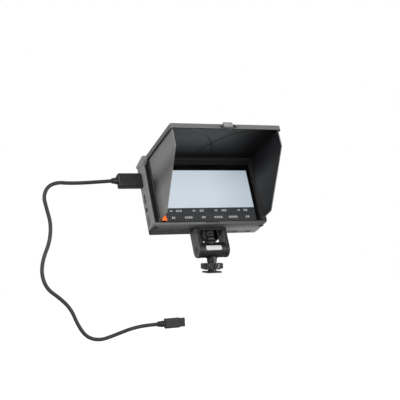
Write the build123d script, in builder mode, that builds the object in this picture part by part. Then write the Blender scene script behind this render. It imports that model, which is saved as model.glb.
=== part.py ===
from build123d import *
from math import cos, pi, radians, sin, tan
import os

os.makedirs("parts", exist_ok=True)

# Camera field monitor with a folding sun hood, on a tilting shoe mount.
# Millimetres. Origin: centre of the shoe foot's underside, +Z up, the screen faces -Y.
# The monitor leans back on its tilt axle, so its pieces are drawn on planes that lean with it:
# "x" runs across, "depth" runs from the front face into the body, "up" runs up the front face.

# ---------------------------------------------------------------- clearances
RUN = 0.05            # radial clearance of a running fit
FIT = 0.02            # clearance of a seated piece
GAP = 0.3             # space between pieces that move past each other

# ---------------------------------------------------------------- shoe mount
TILT = 24.6           # lean of the monitor from upright, degrees
FOOT_WIDTH = 18.6
FOOT_LENGTH = 18.0
FOOT_THICKNESS = 2.0
SHOE_RAIL = 2.1       # height of the shoe rail that the wheel clamps
THREAD_RADIUS = 5.0
SPIGOT_RADIUS = 4.0
WASHER_RADIUS = 10.5
WASHER_THICKNESS = 1.0
WHEEL_RADIUS = 13.8
WHEEL_THICKNESS = 6.4
WHEEL_LOBES = 8
SCALLOP_RADIUS = 3.4
SCALLOP_DEPTH = 2.6
WHEEL_LIFT = 1.0      # travel of the lock wheel up its thread
PIVOT_Z = 27.5
BARREL_RADIUS = 9.3
NECK_RADIUS = 6.0
NECK_FLARE = 2.6
RETAINER_RADIUS = 5.2
RETAINER_THICKNESS = 2.0
AXLE_RADIUS = 3.0
DISC_THICKNESS = 0.8
DISC_RADIUS = 8.4
YOKE_WIDTH = 40.6
ARM_THICKNESS = 3.6
ARM_RADIUS = 9.5
CAP_RADIUS = 5.4
CAP_THICKNESS = 1.6
HEX_SOCKET = 3.5      # across flats
PIVOT_DEPTH = 15.9    # tilt axle behind the front face
PIVOT_DROP = 27.5     # tilt axle below the monitor
PAD_THICKNESS = 1.0
BRIDGE_THICKNESS = 4.0
GUSSET_X = 8.4
GUSSET_THICKNESS = 1.6
GUSSET_DROP = 15.6
SCREW_RADIUS = 3.175  # quarter-inch camera thread
SCREW_REACH = 6.5
KNOB_RADIUS = 6.8
KNOB_HEIGHT = 6.6
KNOB_FLUTES = 18

# ---------------------------------------------------------------- monitor body
BODY_WIDTH = 152.0
BODY_HEIGHT = 87.0
BODY_DEPTH = 32.0
FRAME_DEPTH = 9.0
TAPER_START = 20.0    # depth where the back begins to draw in
TAPER_SIDE = 5.5
TAPER_TOP = 6.5
CORNER_RADIUS = 5.0
WALL = 2.0
SIDE_BORDER = 10.0    # frame beside the glass
TOP_BORDER = 7.0
GLASS_THICKNESS = 1.1
GLASS_SILL = 3.0      # bottom rim below the glass
PANEL_SIDE = 3.0      # glass beyond the panel
PANEL_HEAD = 2.5
PANEL_THICKNESS = 3.6
PANEL_SILL = 1.9      # lower edge of the panel above that of the glass
BOARD_LEFT = 2.0      # board off the left wall
BOARD_RIGHT = 18.0
BOARD_HEAD = 16.0
BOARD_THICKNESS = 1.6
BOARD_SILL = 18.0
PORT_DEPTH = 13.6     # centre line of the side sockets behind the front face
HDMI_UP = 64.1
HDMI_LONG = 15.2
HDMI_SHORT = 5.8
MINI_UP = 39.5
MINI_LONG = 12.0
MINI_SHORT = 3.8
JACK_UP = 25.4
JACK_RADIUS = 2.9
JACK_BORE = 1.8
SIDE_VENT_UP = 6.0
SIDE_VENTS = 5
SIDE_VENT_PITCH = 2.6
VENT_SLOT = 1.2
BASE_VENTS = 8
BASE_VENT_PITCH = 2.5
DC_INSET = 20.3       # power socket from the right side
DC_TO_VENTS = 28.2
DC_LONG = 15.0
DC_SHORT = 5.6
BASE_PORT_INSET = 6.5 # line of the underside's openings, from the back
SEAM_INSET = 9.5      # line of the underside's shallow marks, from the back
SEAM_MARK_DEPTH = 1.0
LOUVRES = 6
LOUVRE_PITCH = 6.0
LOUVRE_LONG = 24.0
LOUVRE_INSET = 28.0
LOUVRE_SILL = 26.0
INSERT_RADIUS = 4.6
INSERT_LENGTH = 8.0
BOSS_RADIUS = 6.6
COVER_SCREW_RADIUS = 1.5
COVER_SCREW_INSET = 10.0
COVER_SCREW_FOOT = 14.0
COVER_SCREW_HEAD = 11.5
COVER_BOSS_RADIUS = 3.6
SCREW_HEAD_RADIUS = 2.8
SCREW_HEAD_THICKNESS = 1.8
SCREW_RECESS = 2.4
KEY_LONG = 8.0
KEY_SHORT = 3.4
KEY_PITCH = 12.0
KEY_DEPTH = 14.0
KEY_PROUD = 0.9
KEY_TRAVEL = 0.5
KEY_FLANGE = 1.0
FIRST_KEY_X = 8.0

# ---------------------------------------------------------------- battery plate on the back
PLATE_WIDTH = 41.0
PLATE_HEIGHT = 66.0
PLATE_THICKNESS = 2.4
PLATE_SILL = 8.0
RAIL_WIDTH = 3.2
RAIL_HEIGHT = 4.4
RAIL_LIP = 1.6
RAIL_LIP_THICKNESS = 1.3
CONTACT_BLOCK_WIDTH = 19.0
CATCH_WIDTH = 9.0
CATCH_HEIGHT = 7.0
CATCH_TRAVEL = 2.2

# ---------------------------------------------------------------- sun hood
LID_INSET = 4.0       # lid's sides in from the body's
LID_REACH = 85.6      # free edge in front of the front face
LID_BACK = 1.6        # rear edge in front of the front face
LID_RISE = 3.2        # lid's top above the body's
SEAL_RISE = 3.6       # strip behind the lid, that keeps light out of the hood
SEAL_THICKNESS = 2.6
LID_THICKNESS = 1.4
LID_RIM = 6.2
LID_RIM_WALL = 1.4
LID_PIVOT_REACH = 3.6
LID_PIVOT_DROP = 1.0  # lid's pivot below the body's top
LID_EAR_RADIUS = 2.7
LID_PIN_RADIUS = 1.0
CHEEK_BACK = 22.0
CHEEK_TAIL = 2.6
CHEEK_DROP = 8.0
CHEEK_NOSE = 3.4
CHEEK_PROUD = 0.4
WING_INSET = 2.0      # wing hinge lines, in from the lid's rim
WING_THICKNESS = 1.2
WING_BARREL_RADIUS = 1.6
WING_PIN_RADIUS = 0.8
WING_TIP_GAP = 0.6    # between a wing's free edge and the lid's rim
WING_HEAD_GAP = 1.8   # between a wing's top and the lid
WING_SILL = 4.5
WING_TIP_HEIGHT = 23.8
WING_FOOT_REACH = 23.0
LUG_HEIGHT = 5.0
LUG_SILL = 3.0
LUG_HEAD_GAP = 3.6    # between the upper lugs and the lid
PIN_INSERTION = 12.0
PEG_RADIUS = 0.8
PEG_HEIGHT = 2.0
PEG_INSET = 2.0
LINING_THICKNESS = 0.4
LATCH_WIDTH = 16.0
LATCH_THICKNESS = 1.9
LATCH_RISE = 1.0      # latch's top above the lid's
LATCH_DROP = 8.8      # latch's foot below the lid's top
LATCH_PIVOT_DROP = 3.3
LATCH_BARREL_RADIUS = 1.3
LATCH_PIN_RADIUS = 0.6
LATCH_X = 1.0
LATCH_STANDOFF = 1.2  # back of the latch off the lid's rim
LATCH_LUG_WIDTH = 1.6
CATCH_NOTCH_DEPTH = 2.2

# ---------------------------------------------------------------- video cable
CABLE_DIAMETER = 4.4
PLUG_LENGTH = 29.5
PLUG_TALL = 18.0
PLUG_THICK = 9.6
BOOT_LENGTH = 9.0
BOOT_RADIUS = 3.3
TONGUE_LONG = 13.9
TONGUE_SHORT = 4.4
TONGUE_LENGTH = 9.0
FAR_PLUG_LENGTH = 17.6
FAR_PLUG_TALL = 11.6
FAR_PLUG_THICK = 8.0
FAR_TONGUE_LONG = 10.4
FAR_TONGUE_SHORT = 2.4
FAR_TONGUE_LENGTH = 7.0
# control points from the monitor's plug to the camera's plug
CABLE_ROUTE = [
    (-114.5, 36.1, 111.8), (-131.0, 34.6, 110.8), (-150.0, 33.2, 109.6), (-169.0, 32.2, 109.2),
    (-183.3, 31.0, 110.2), (-195.0, 29.8, 105.6), (-200.6, 28.4, 94.2), (-197.7, 27.1, 81.2),
    (-192.9, 25.0, 62.0), (-195.6, 22.2, 41.1), (-204.6, 19.2, 22.5), (-207.4, 16.5, 4.7),
    (-201.7, 14.0, -11.9), (-187.1, 10.9, -22.8), (-174.8, 8.6, -35.9), (-168.3, 6.4, -53.1),
    (-158.5, 4.3, -68.3), (-142.6, 2.3, -72.8), (-125.2, 0.3, -67.4), (-106.9, -1.6, -61.2),
    (-90.0, -3.3, -58.0), (-74.0, -5.1, -57.4),
]

# ---------------------------------------------------------------- leaning frame of the monitor
ACROSS = Vector(1, 0, 0)
UP = Vector(0, sin(radians(TILT)), cos(radians(TILT)))
INTO = Vector(0, cos(radians(TILT)), -sin(radians(TILT)))
OUT = INTO * -1
PIVOT = Vector(0, 0, PIVOT_Z)
CORNER = PIVOT + UP * PIVOT_DROP - INTO * PIVOT_DEPTH    # middle of the front bottom edge
UP_AXIS = Axis((0, 0, 0), tuple(UP))
INTO_AXIS = Axis((0, 0, 0), tuple(INTO))


def at(x, depth, up):
    """A point of the leaning frame."""
    return CORNER + ACROSS * x + INTO * depth + UP * up


def front(depth=0.0):
    """Plane parallel to the screen: sketch (x, up), extrudes outwards."""
    return Plane(origin=at(0, depth, 0), x_dir=ACROSS, z_dir=OUT)


def side(x=0.0):
    """Plane square to X: sketch (depth, up), extrudes towards +X."""
    return Plane(origin=at(x, 0, 0), x_dir=INTO, z_dir=ACROSS)


def level(up=0.0):
    """Plane square to the screen's height: sketch (x, depth), extrudes upwards."""
    return Plane(origin=at(0, 0, up), x_dir=ACROSS, z_dir=UP)


def save(part, name):
    part.part.label = name
    export_step(part.part, f"parts/{name}.step")


# ================================================================ shoe mount
THREAD_TOP = FOOT_THICKNESS + SHOE_RAIL + WASHER_THICKNESS + WHEEL_THICKNESS + WHEEL_LIFT + GAP
WASHER_Z = FOOT_THICKNESS + SHOE_RAIL
WHEEL_Z = WASHER_Z + WASHER_THICKNESS
NECK_Z = THREAD_TOP + 0.1
LEDGE_Z = PIVOT_Z - BARREL_RADIUS + 0.4
SPIGOT_TOP = LEDGE_Z + 0.2
ARM_FACE = YOKE_WIDTH / 2 - ARM_THICKNESS
BARREL_HALF = ARM_FACE - DISC_THICKNESS - GAP / 2

# foot that slides into the camera's shoe, with the threaded post
with BuildPart() as shoe_foot:
    with BuildSketch(Plane.XY):
        RectangleRounded(FOOT_WIDTH, FOOT_LENGTH, 1.0)
    extrude(amount=FOOT_THICKNESS)
    with BuildSketch(Plane.XY.offset(FOOT_THICKNESS)):
        Circle(THREAD_RADIUS)
    extrude(amount=THREAD_TOP - FOOT_THICKNESS)
    with BuildSketch(Plane.XY.offset(THREAD_TOP)):
        Circle(SPIGOT_RADIUS)
    extrude(amount=SPIGOT_TOP - THREAD_TOP)
    with BuildSketch(Plane.XY.offset(SPIGOT_TOP)):
        Circle(1.5 + FIT)
    extrude(amount=-8.2, mode=Mode.SUBTRACT)
    chamfer(shoe_foot.faces().sort_by(Axis.Z)[0].edges(), 0.4)
save(shoe_foot, "shoe_foot")

# pressure washer between the wheel and the shoe's rails
with BuildPart() as clamp_washer:
    with BuildSketch(Plane.XY.offset(WASHER_Z)):
        Circle(WASHER_RADIUS)
        Circle(THREAD_RADIUS + RUN, mode=Mode.SUBTRACT)
    extrude(amount=WASHER_THICKNESS)
save(clamp_washer, "clamp_washer")

# lobed wheel that screws down on the washer
with BuildPart() as lock_wheel:
    with BuildSketch(Plane.XY.offset(WHEEL_Z)):
        Circle(WHEEL_RADIUS)
        with PolarLocations(WHEEL_RADIUS + SCALLOP_RADIUS - SCALLOP_DEPTH, WHEEL_LOBES, 22.5):
            Circle(SCALLOP_RADIUS, mode=Mode.SUBTRACT)
    extrude(amount=WHEEL_THICKNESS)
    chamfer(lock_wheel.faces().sort_by(Axis.Z)[-1].edges(), 0.6)
    chamfer(lock_wheel.faces().sort_by(Axis.Z)[0].edges(), 0.4)
    with BuildSketch(Plane.XY.offset(WHEEL_Z + WHEEL_THICKNESS)):
        Circle(WHEEL_RADIUS - SCALLOP_DEPTH - 1.4)
        Circle(THREAD_RADIUS + 2.0, mode=Mode.SUBTRACT)
    extrude(amount=-1.0, mode=Mode.SUBTRACT)
    with BuildSketch(Plane.XY.offset(WHEEL_Z)):
        Circle(THREAD_RADIUS + RUN)
    extrude(amount=WHEEL_THICKNESS, mode=Mode.SUBTRACT)
save(lock_wheel, "lock_wheel")

# cross barrel on its flared neck: it swivels on the post and carries the tilt axle
with BuildPart() as swivel_barrel:
    with BuildSketch(Plane.YZ.offset(-BARREL_HALF)):
        with Locations((0, PIVOT_Z)):
            Circle(BARREL_RADIUS)
    extrude(amount=2 * BARREL_HALF)
    with BuildSketch(Plane.XY.offset(NECK_Z)):
        Circle(NECK_RADIUS)
    extrude(amount=PIVOT_Z - NECK_Z)
    neck_seam = swivel_barrel.edges().filter_by(lambda e: e.geom_type not in (GeomType.LINE, GeomType.CIRCLE))
    fillet(neck_seam, NECK_FLARE)
    chamfer(swivel_barrel.faces().sort_by(Axis.X)[0].edges(), 0.4)
    chamfer(swivel_barrel.faces().sort_by(Axis.X)[-1].edges(), 0.4)
    with BuildSketch(Plane.XY.offset(NECK_Z)):
        Circle(SPIGOT_RADIUS + RUN)
    extrude(amount=LEDGE_Z - NECK_Z, mode=Mode.SUBTRACT)
    with BuildSketch(Plane.XY.offset(LEDGE_Z)):
        Circle(RETAINER_RADIUS + GAP)
    extrude(amount=BARREL_RADIUS * 2, mode=Mode.SUBTRACT)
    with BuildSketch(Plane.YZ.offset(-BARREL_HALF)):
        with Locations((0, PIVOT_Z)):
            Circle(AXLE_RADIUS + RUN)
    extrude(amount=2 * BARREL_HALF, mode=Mode.SUBTRACT)
save(swivel_barrel, "swivel_barrel")

# screw on top of the post that keeps the barrel down
with BuildPart() as swivel_screw:
    with BuildSketch(Plane.XY.offset(SPIGOT_TOP)):
        Circle(RETAINER_RADIUS)
    extrude(amount=RETAINER_THICKNESS)
    with BuildSketch(Plane.XY.offset(SPIGOT_TOP)):
        Circle(1.5)
    extrude(amount=-8.0)
    with BuildSketch(Plane.XY.offset(SPIGOT_TOP + RETAINER_THICKNESS)):
        Rectangle(6.0, 1.2)
    extrude(amount=-1.0, mode=Mode.SUBTRACT)
save(swivel_screw, "swivel_screw")

# friction discs between the barrel's ends and the arms
with BuildPart() as friction_discs:
    for end in (-1, 1):
        with BuildSketch(Plane.YZ.offset(end * BARREL_HALF)):
            with Locations((0, PIVOT_Z)):
                Circle(DISC_RADIUS)
                Circle(AXLE_RADIUS + RUN, mode=Mode.SUBTRACT)
        extrude(amount=end * DISC_THICKNESS)
save(friction_discs, "friction_discs")

# yoke: bridge under the monitor, two arms on the axle, two gussets round the screw
ARM_BACK = PIVOT_DEPTH + ARM_RADIUS
ARM_FRONT = PIVOT_DEPTH - ARM_RADIUS
CAP_SEAT = YOKE_WIDTH / 2 - CAP_THICKNESS
BRIDGE_UNDERSIDE = -PAD_THICKNESS - BRIDGE_THICKNESS
with BuildPart() as yoke:
    with BuildSketch(side(-YOKE_WIDTH / 2)):
        with BuildLine():
            Line((ARM_FRONT, -PIVOT_DROP), (ARM_FRONT, -PAD_THICKNESS))
            Line((ARM_FRONT, -PAD_THICKNESS), (ARM_BACK, -PAD_THICKNESS))
            Line((ARM_BACK, -PAD_THICKNESS), (ARM_BACK, -PIVOT_DROP))
            RadiusArc((ARM_BACK, -PIVOT_DROP), (ARM_FRONT, -PIVOT_DROP), ARM_RADIUS)
        make_face()
    extrude(amount=YOKE_WIDTH)
    fillet(yoke.edges().filter_by(Axis.X).group_by(UP_AXIS)[-1], 2.5)
    chamfer(yoke.faces().sort_by(Axis.X)[0].edges(), 0.5)
    chamfer(yoke.faces().sort_by(Axis.X)[-1].edges(), 0.5)
    with BuildSketch(front(ARM_BACK + 5)):
        with Locations((0, (BRIDGE_UNDERSIDE - PIVOT_DROP * 2) / 2)):
            Rectangle(2 * ARM_FACE, PIVOT_DROP * 2 + BRIDGE_UNDERSIDE)
    extrude(amount=ARM_BACK + 10, mode=Mode.SUBTRACT)
    for x in (-GUSSET_X, GUSSET_X):
        with BuildSketch(side(x - GUSSET_THICKNESS / 2)):
            with BuildLine():
                Polyline((ARM_FRONT + 1.0, BRIDGE_UNDERSIDE + 0.5), (ARM_BACK - 1.0, BRIDGE_UNDERSIDE + 0.5),
                         (ARM_BACK - 1.0, BRIDGE_UNDERSIDE - 3.0), (PIVOT_DEPTH, -GUSSET_DROP),
                         (ARM_FRONT + 1.0, -GUSSET_DROP), close=True)
            make_face()
        extrude(amount=GUSSET_THICKNESS)
    with BuildSketch(Plane.YZ.offset(-YOKE_WIDTH / 2)):
        with Locations((0, PIVOT_Z)):
            Circle(AXLE_RADIUS + FIT)
    extrude(amount=YOKE_WIDTH, mode=Mode.SUBTRACT)
    for end in (-1, 1):
        with BuildSketch(Plane.YZ.offset(end * CAP_SEAT)):
            with Locations((0, PIVOT_Z)):
                Circle(CAP_RADIUS + FIT)
        extrude(amount=end * (CAP_THICKNESS + 1), mode=Mode.SUBTRACT)
    with BuildSketch(level(BRIDGE_UNDERSIDE)):
        with Locations((0, PIVOT_DEPTH)):
            Circle(SCREW_RADIUS + FIT)
    extrude(amount=BRIDGE_THICKNESS + 1, mode=Mode.SUBTRACT)
save(yoke, "yoke")

# rubber pad that grips the monitor's underside
with BuildPart() as yoke_pad:
    with BuildSketch(level(-PAD_THICKNESS)):
        with Locations((0, PIVOT_DEPTH)):
            RectangleRounded(YOKE_WIDTH - 2, 2 * ARM_RADIUS - 5.6, 2.0)
            Circle(SCREW_RADIUS + FIT, mode=Mode.SUBTRACT)
    extrude(amount=PAD_THICKNESS)
save(yoke_pad, "yoke_pad")

# tilt axle pressed into both arms
with BuildPart() as tilt_axle:
    with BuildSketch(Plane.YZ.offset(-CAP_SEAT)):
        with Locations((0, PIVOT_Z)):
            Circle(AXLE_RADIUS)
            Circle(1.5 + FIT, mode=Mode.SUBTRACT)
    extrude(amount=2 * CAP_SEAT)
save(tilt_axle, "tilt_axle")

# socket-head caps screwed into the axle's ends
with BuildPart() as axle_caps:
    for end in (-1, 1):
        with BuildSketch(Plane.YZ.offset(end * CAP_SEAT)):
            with Locations((0, PIVOT_Z)):
                Circle(CAP_RADIUS)
        extrude(amount=end * CAP_THICKNESS)
        with BuildSketch(Plane.YZ.offset(end * CAP_SEAT)):
            with Locations((0, PIVOT_Z)):
                Circle(1.5)
        extrude(amount=-end * 7.0)
        with BuildSketch(Plane.YZ.offset(end * YOKE_WIDTH / 2)):
            with Locations((0, PIVOT_Z)):
                RegularPolygon(HEX_SOCKET / 2, 6, major_radius=False)
        extrude(amount=-end * 1.2, mode=Mode.SUBTRACT)
save(axle_caps, "axle_caps")

# captive camera screw with its fluted knob and tommy holes
with BuildPart() as mount_screw:
    with BuildSketch(level(BRIDGE_UNDERSIDE)):
        with Locations((0, PIVOT_DEPTH)):
            Circle(KNOB_RADIUS)
            with PolarLocations(KNOB_RADIUS + 0.35, KNOB_FLUTES):
                Circle(0.8, mode=Mode.SUBTRACT)
    extrude(amount=-KNOB_HEIGHT)
    for turn in range(4):
        hole_plane = Plane(origin=at(0, PIVOT_DEPTH, BRIDGE_UNDERSIDE - KNOB_HEIGHT / 2),
                           x_dir=UP, z_dir=OUT.rotate(Axis((0, 0, 0), tuple(UP)), 90 * turn))
        with BuildSketch(hole_plane.offset(KNOB_RADIUS - 3)):
            Circle(1.1)
        extrude(amount=4, mode=Mode.SUBTRACT)
    with BuildSketch(level(BRIDGE_UNDERSIDE)):
        with Locations((0, PIVOT_DEPTH)):
            Circle(SCREW_RADIUS)
    extrude(amount=SCREW_REACH - BRIDGE_UNDERSIDE)
save(mount_screw, "mount_screw")

# ================================================================ monitor body
HALF = BODY_WIDTH / 2
GLASS_WIDTH = BODY_WIDTH - 2 * SIDE_BORDER
GLASS_HEIGHT = BODY_HEIGHT - TOP_BORDER - GLASS_SILL
GLASS_MIDDLE = GLASS_SILL + GLASS_HEIGHT / 2
PANEL_WIDTH = GLASS_WIDTH - 2 * PANEL_SIDE
PANEL_HEIGHT = GLASS_HEIGHT - PANEL_SILL - PANEL_HEAD
PANEL_MIDDLE = GLASS_SILL + PANEL_SILL + PANEL_HEIGHT / 2
BOARD_DEPTH = PORT_DEPTH + HDMI_SHORT / 2 + 0.1
BOARD_WIDTH = BODY_WIDTH - 2 * WALL - BOARD_LEFT - BOARD_RIGHT
BOARD_X = (BOARD_LEFT - BOARD_RIGHT) / 2
BOARD_HEIGHT = BODY_HEIGHT - BOARD_HEAD - BOARD_SILL
SIDE_VENT_DEPTH = 13.0
DC_X = HALF - DC_INSET
BASE_PORT_DEPTH = BODY_DEPTH - BASE_PORT_INSET
SEAM_DEPTH = BODY_DEPTH - SEAM_INSET
COVER_SCREW_X = HALF - COVER_SCREW_INSET
COVER_SCREW_UPS = (COVER_SCREW_FOOT, BODY_HEIGHT - COVER_SCREW_HEAD)
LID_WIDTH = BODY_WIDTH - 2 * LID_INSET
LID_HALF = LID_WIDTH / 2
LID_TOP = BODY_HEIGHT + LID_RISE
LID_UNDER = LID_TOP - LID_THICKNESS
LID_PIVOT_UP = BODY_HEIGHT - LID_PIVOT_DROP
CHEEK_X = LID_HALF + GAP
LEFT_HINGE = WING_BARREL_RADIUS + GAP
RIGHT_HINGE = LEFT_HINGE + WING_THICKNESS + 0.5
WING_X = LID_HALF - LID_RIM_WALL - WING_INSET
WING_TOP = LID_UNDER - WING_HEAD_GAP
WING_REACH = LID_REACH - LID_RIM_WALL - RIGHT_HINGE - WING_TIP_GAP
LUG_TOP = LID_UNDER - LUG_HEAD_GAP
LATCH_TOP = LID_TOP + LATCH_RISE
LATCH_BOTTOM = LID_TOP - LATCH_DROP
LATCH_PIVOT_UP = LID_TOP - LATCH_PIVOT_DROP
LATCH_BACK = LID_REACH + LATCH_STANDOFF
LATCH_PIVOT_REACH = LATCH_BACK + 0.8
TRACK_RADIUS = WING_REACH - PEG_INSET
TRACK_HALF = PEG_RADIUS + 0.15


def body_outline():
    """Rounded front outline shared by the frame and the back."""
    with Locations((0, BODY_HEIGHT / 2)):
        RectangleRounded(BODY_WIDTH, BODY_HEIGHT, CORNER_RADIUS)


def cheek_outline(grow=0.0):
    """Side outline of a hinge cheek: a wedge that falls away from the lid's pivot."""
    with BuildSketch() as outline:
        with BuildLine():
            Polyline((CHEEK_BACK + grow, BODY_HEIGHT - CHEEK_TAIL - grow),
                     (0.0, BODY_HEIGHT - CHEEK_DROP - grow),
                     (-LID_PIVOT_REACH - CHEEK_NOSE * 0.75, LID_PIVOT_UP - CHEEK_NOSE * 0.75),
                     (-LID_PIVOT_REACH, LID_PIVOT_UP + CHEEK_NOSE),
                     (0.0, LID_TOP), (CHEEK_BACK + grow, BODY_HEIGHT + grow), close=True)
        make_face()
        with Locations((-LID_PIVOT_REACH, LID_PIVOT_UP)):
            Circle(CHEEK_NOSE)
    return outline.sketch


# front frame: a ring round the glass
with BuildPart() as front_frame:
    with BuildSketch(front(FRAME_DEPTH)):
        body_outline()
    extrude(amount=FRAME_DEPTH)
    chamfer(front_frame.faces().sort_by(INTO_AXIS)[0].edges(), 0.8)
    with BuildSketch(front(FRAME_DEPTH)):
        with Locations((0, BODY_HEIGHT / 2)):
            Rectangle(BODY_WIDTH - 2 * WALL, BODY_HEIGHT - 2 * WALL)
    extrude(amount=FRAME_DEPTH - 3.0, mode=Mode.SUBTRACT)
    with BuildSketch(front(3.5)):
        with Locations((0, PANEL_MIDDLE)):
            Rectangle(PANEL_WIDTH + 2 * FIT, PANEL_HEIGHT + 2 * FIT)
    extrude(amount=4.0, mode=Mode.SUBTRACT)
    with BuildSketch(front(GLASS_THICKNESS + FIT)):
        with Locations((0, GLASS_MIDDLE)):
            RectangleRounded(GLASS_WIDTH + 2 * FIT, GLASS_HEIGHT + 2 * FIT, 1.5)
    extrude(amount=GLASS_THICKNESS + 1, mode=Mode.SUBTRACT)
    for x in (-HALF - 1, CHEEK_X - FIT):
        with BuildSketch(side(x)):
            add(cheek_outline(FIT))
        extrude(amount=HALF - CHEEK_X + 1 + FIT, mode=Mode.SUBTRACT)
    # notch that the lid's latch hooks into
    with BuildSketch(front(CATCH_NOTCH_DEPTH)):
        with Locations((LATCH_X, (GLASS_SILL + 0.7) / 2)):
            Rectangle(LATCH_WIDTH + 2, GLASS_SILL - 0.8)
    extrude(amount=CATCH_NOTCH_DEPTH + 1, mode=Mode.SUBTRACT)
save(front_frame, "front_frame")

# brackets of the wing hinges: the left wing folds first, so its hinge line lies closer to the glass
with BuildPart() as hinge_brackets:
    for hinge_x, reach in ((-WING_X, LEFT_HINGE), (WING_X, RIGHT_HINGE)):
        for foot in (LUG_SILL, LUG_TOP - LUG_HEIGHT):
            with BuildSketch(level(foot)):
                with Locations((hinge_x, -reach)):
                    Circle(WING_BARREL_RADIUS)
                with Locations((hinge_x, -reach / 2)):
                    Rectangle(2 * WING_BARREL_RADIUS, reach)
                with Locations((hinge_x, -reach)):
                    Circle(WING_PIN_RADIUS + FIT, mode=Mode.SUBTRACT)
            extrude(amount=LUG_HEIGHT)
save(hinge_brackets, "hinge_brackets")

# soft strip along the frame's top, behind the lid's rear edge, that keeps light out of the hood
with BuildPart() as light_seal:
    with BuildSketch(front(GAP + SEAL_THICKNESS)):
        with Locations((0, BODY_HEIGHT + SEAL_RISE / 2)):
            Rectangle(LID_WIDTH, SEAL_RISE)
    extrude(amount=SEAL_THICKNESS)
save(light_seal, "light_seal")

# cover glass and touch layer
with BuildPart() as screen_glass:
    with BuildSketch(front(GLASS_THICKNESS)):
        with Locations((0, GLASS_MIDDLE)):
            RectangleRounded(GLASS_WIDTH, GLASS_HEIGHT, 1.5)
    extrude(amount=GLASS_THICKNESS)
save(screen_glass, "screen_glass")

# liquid crystal panel bonded behind the glass
with BuildPart() as lcd_panel:
    with BuildSketch(front(GLASS_THICKNESS + PANEL_THICKNESS)):
        with Locations((0, PANEL_MIDDLE)):
            Rectangle(PANEL_WIDTH, PANEL_HEIGHT)
    extrude(amount=PANEL_THICKNESS - FIT)
save(lcd_panel, "lcd_panel")

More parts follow.
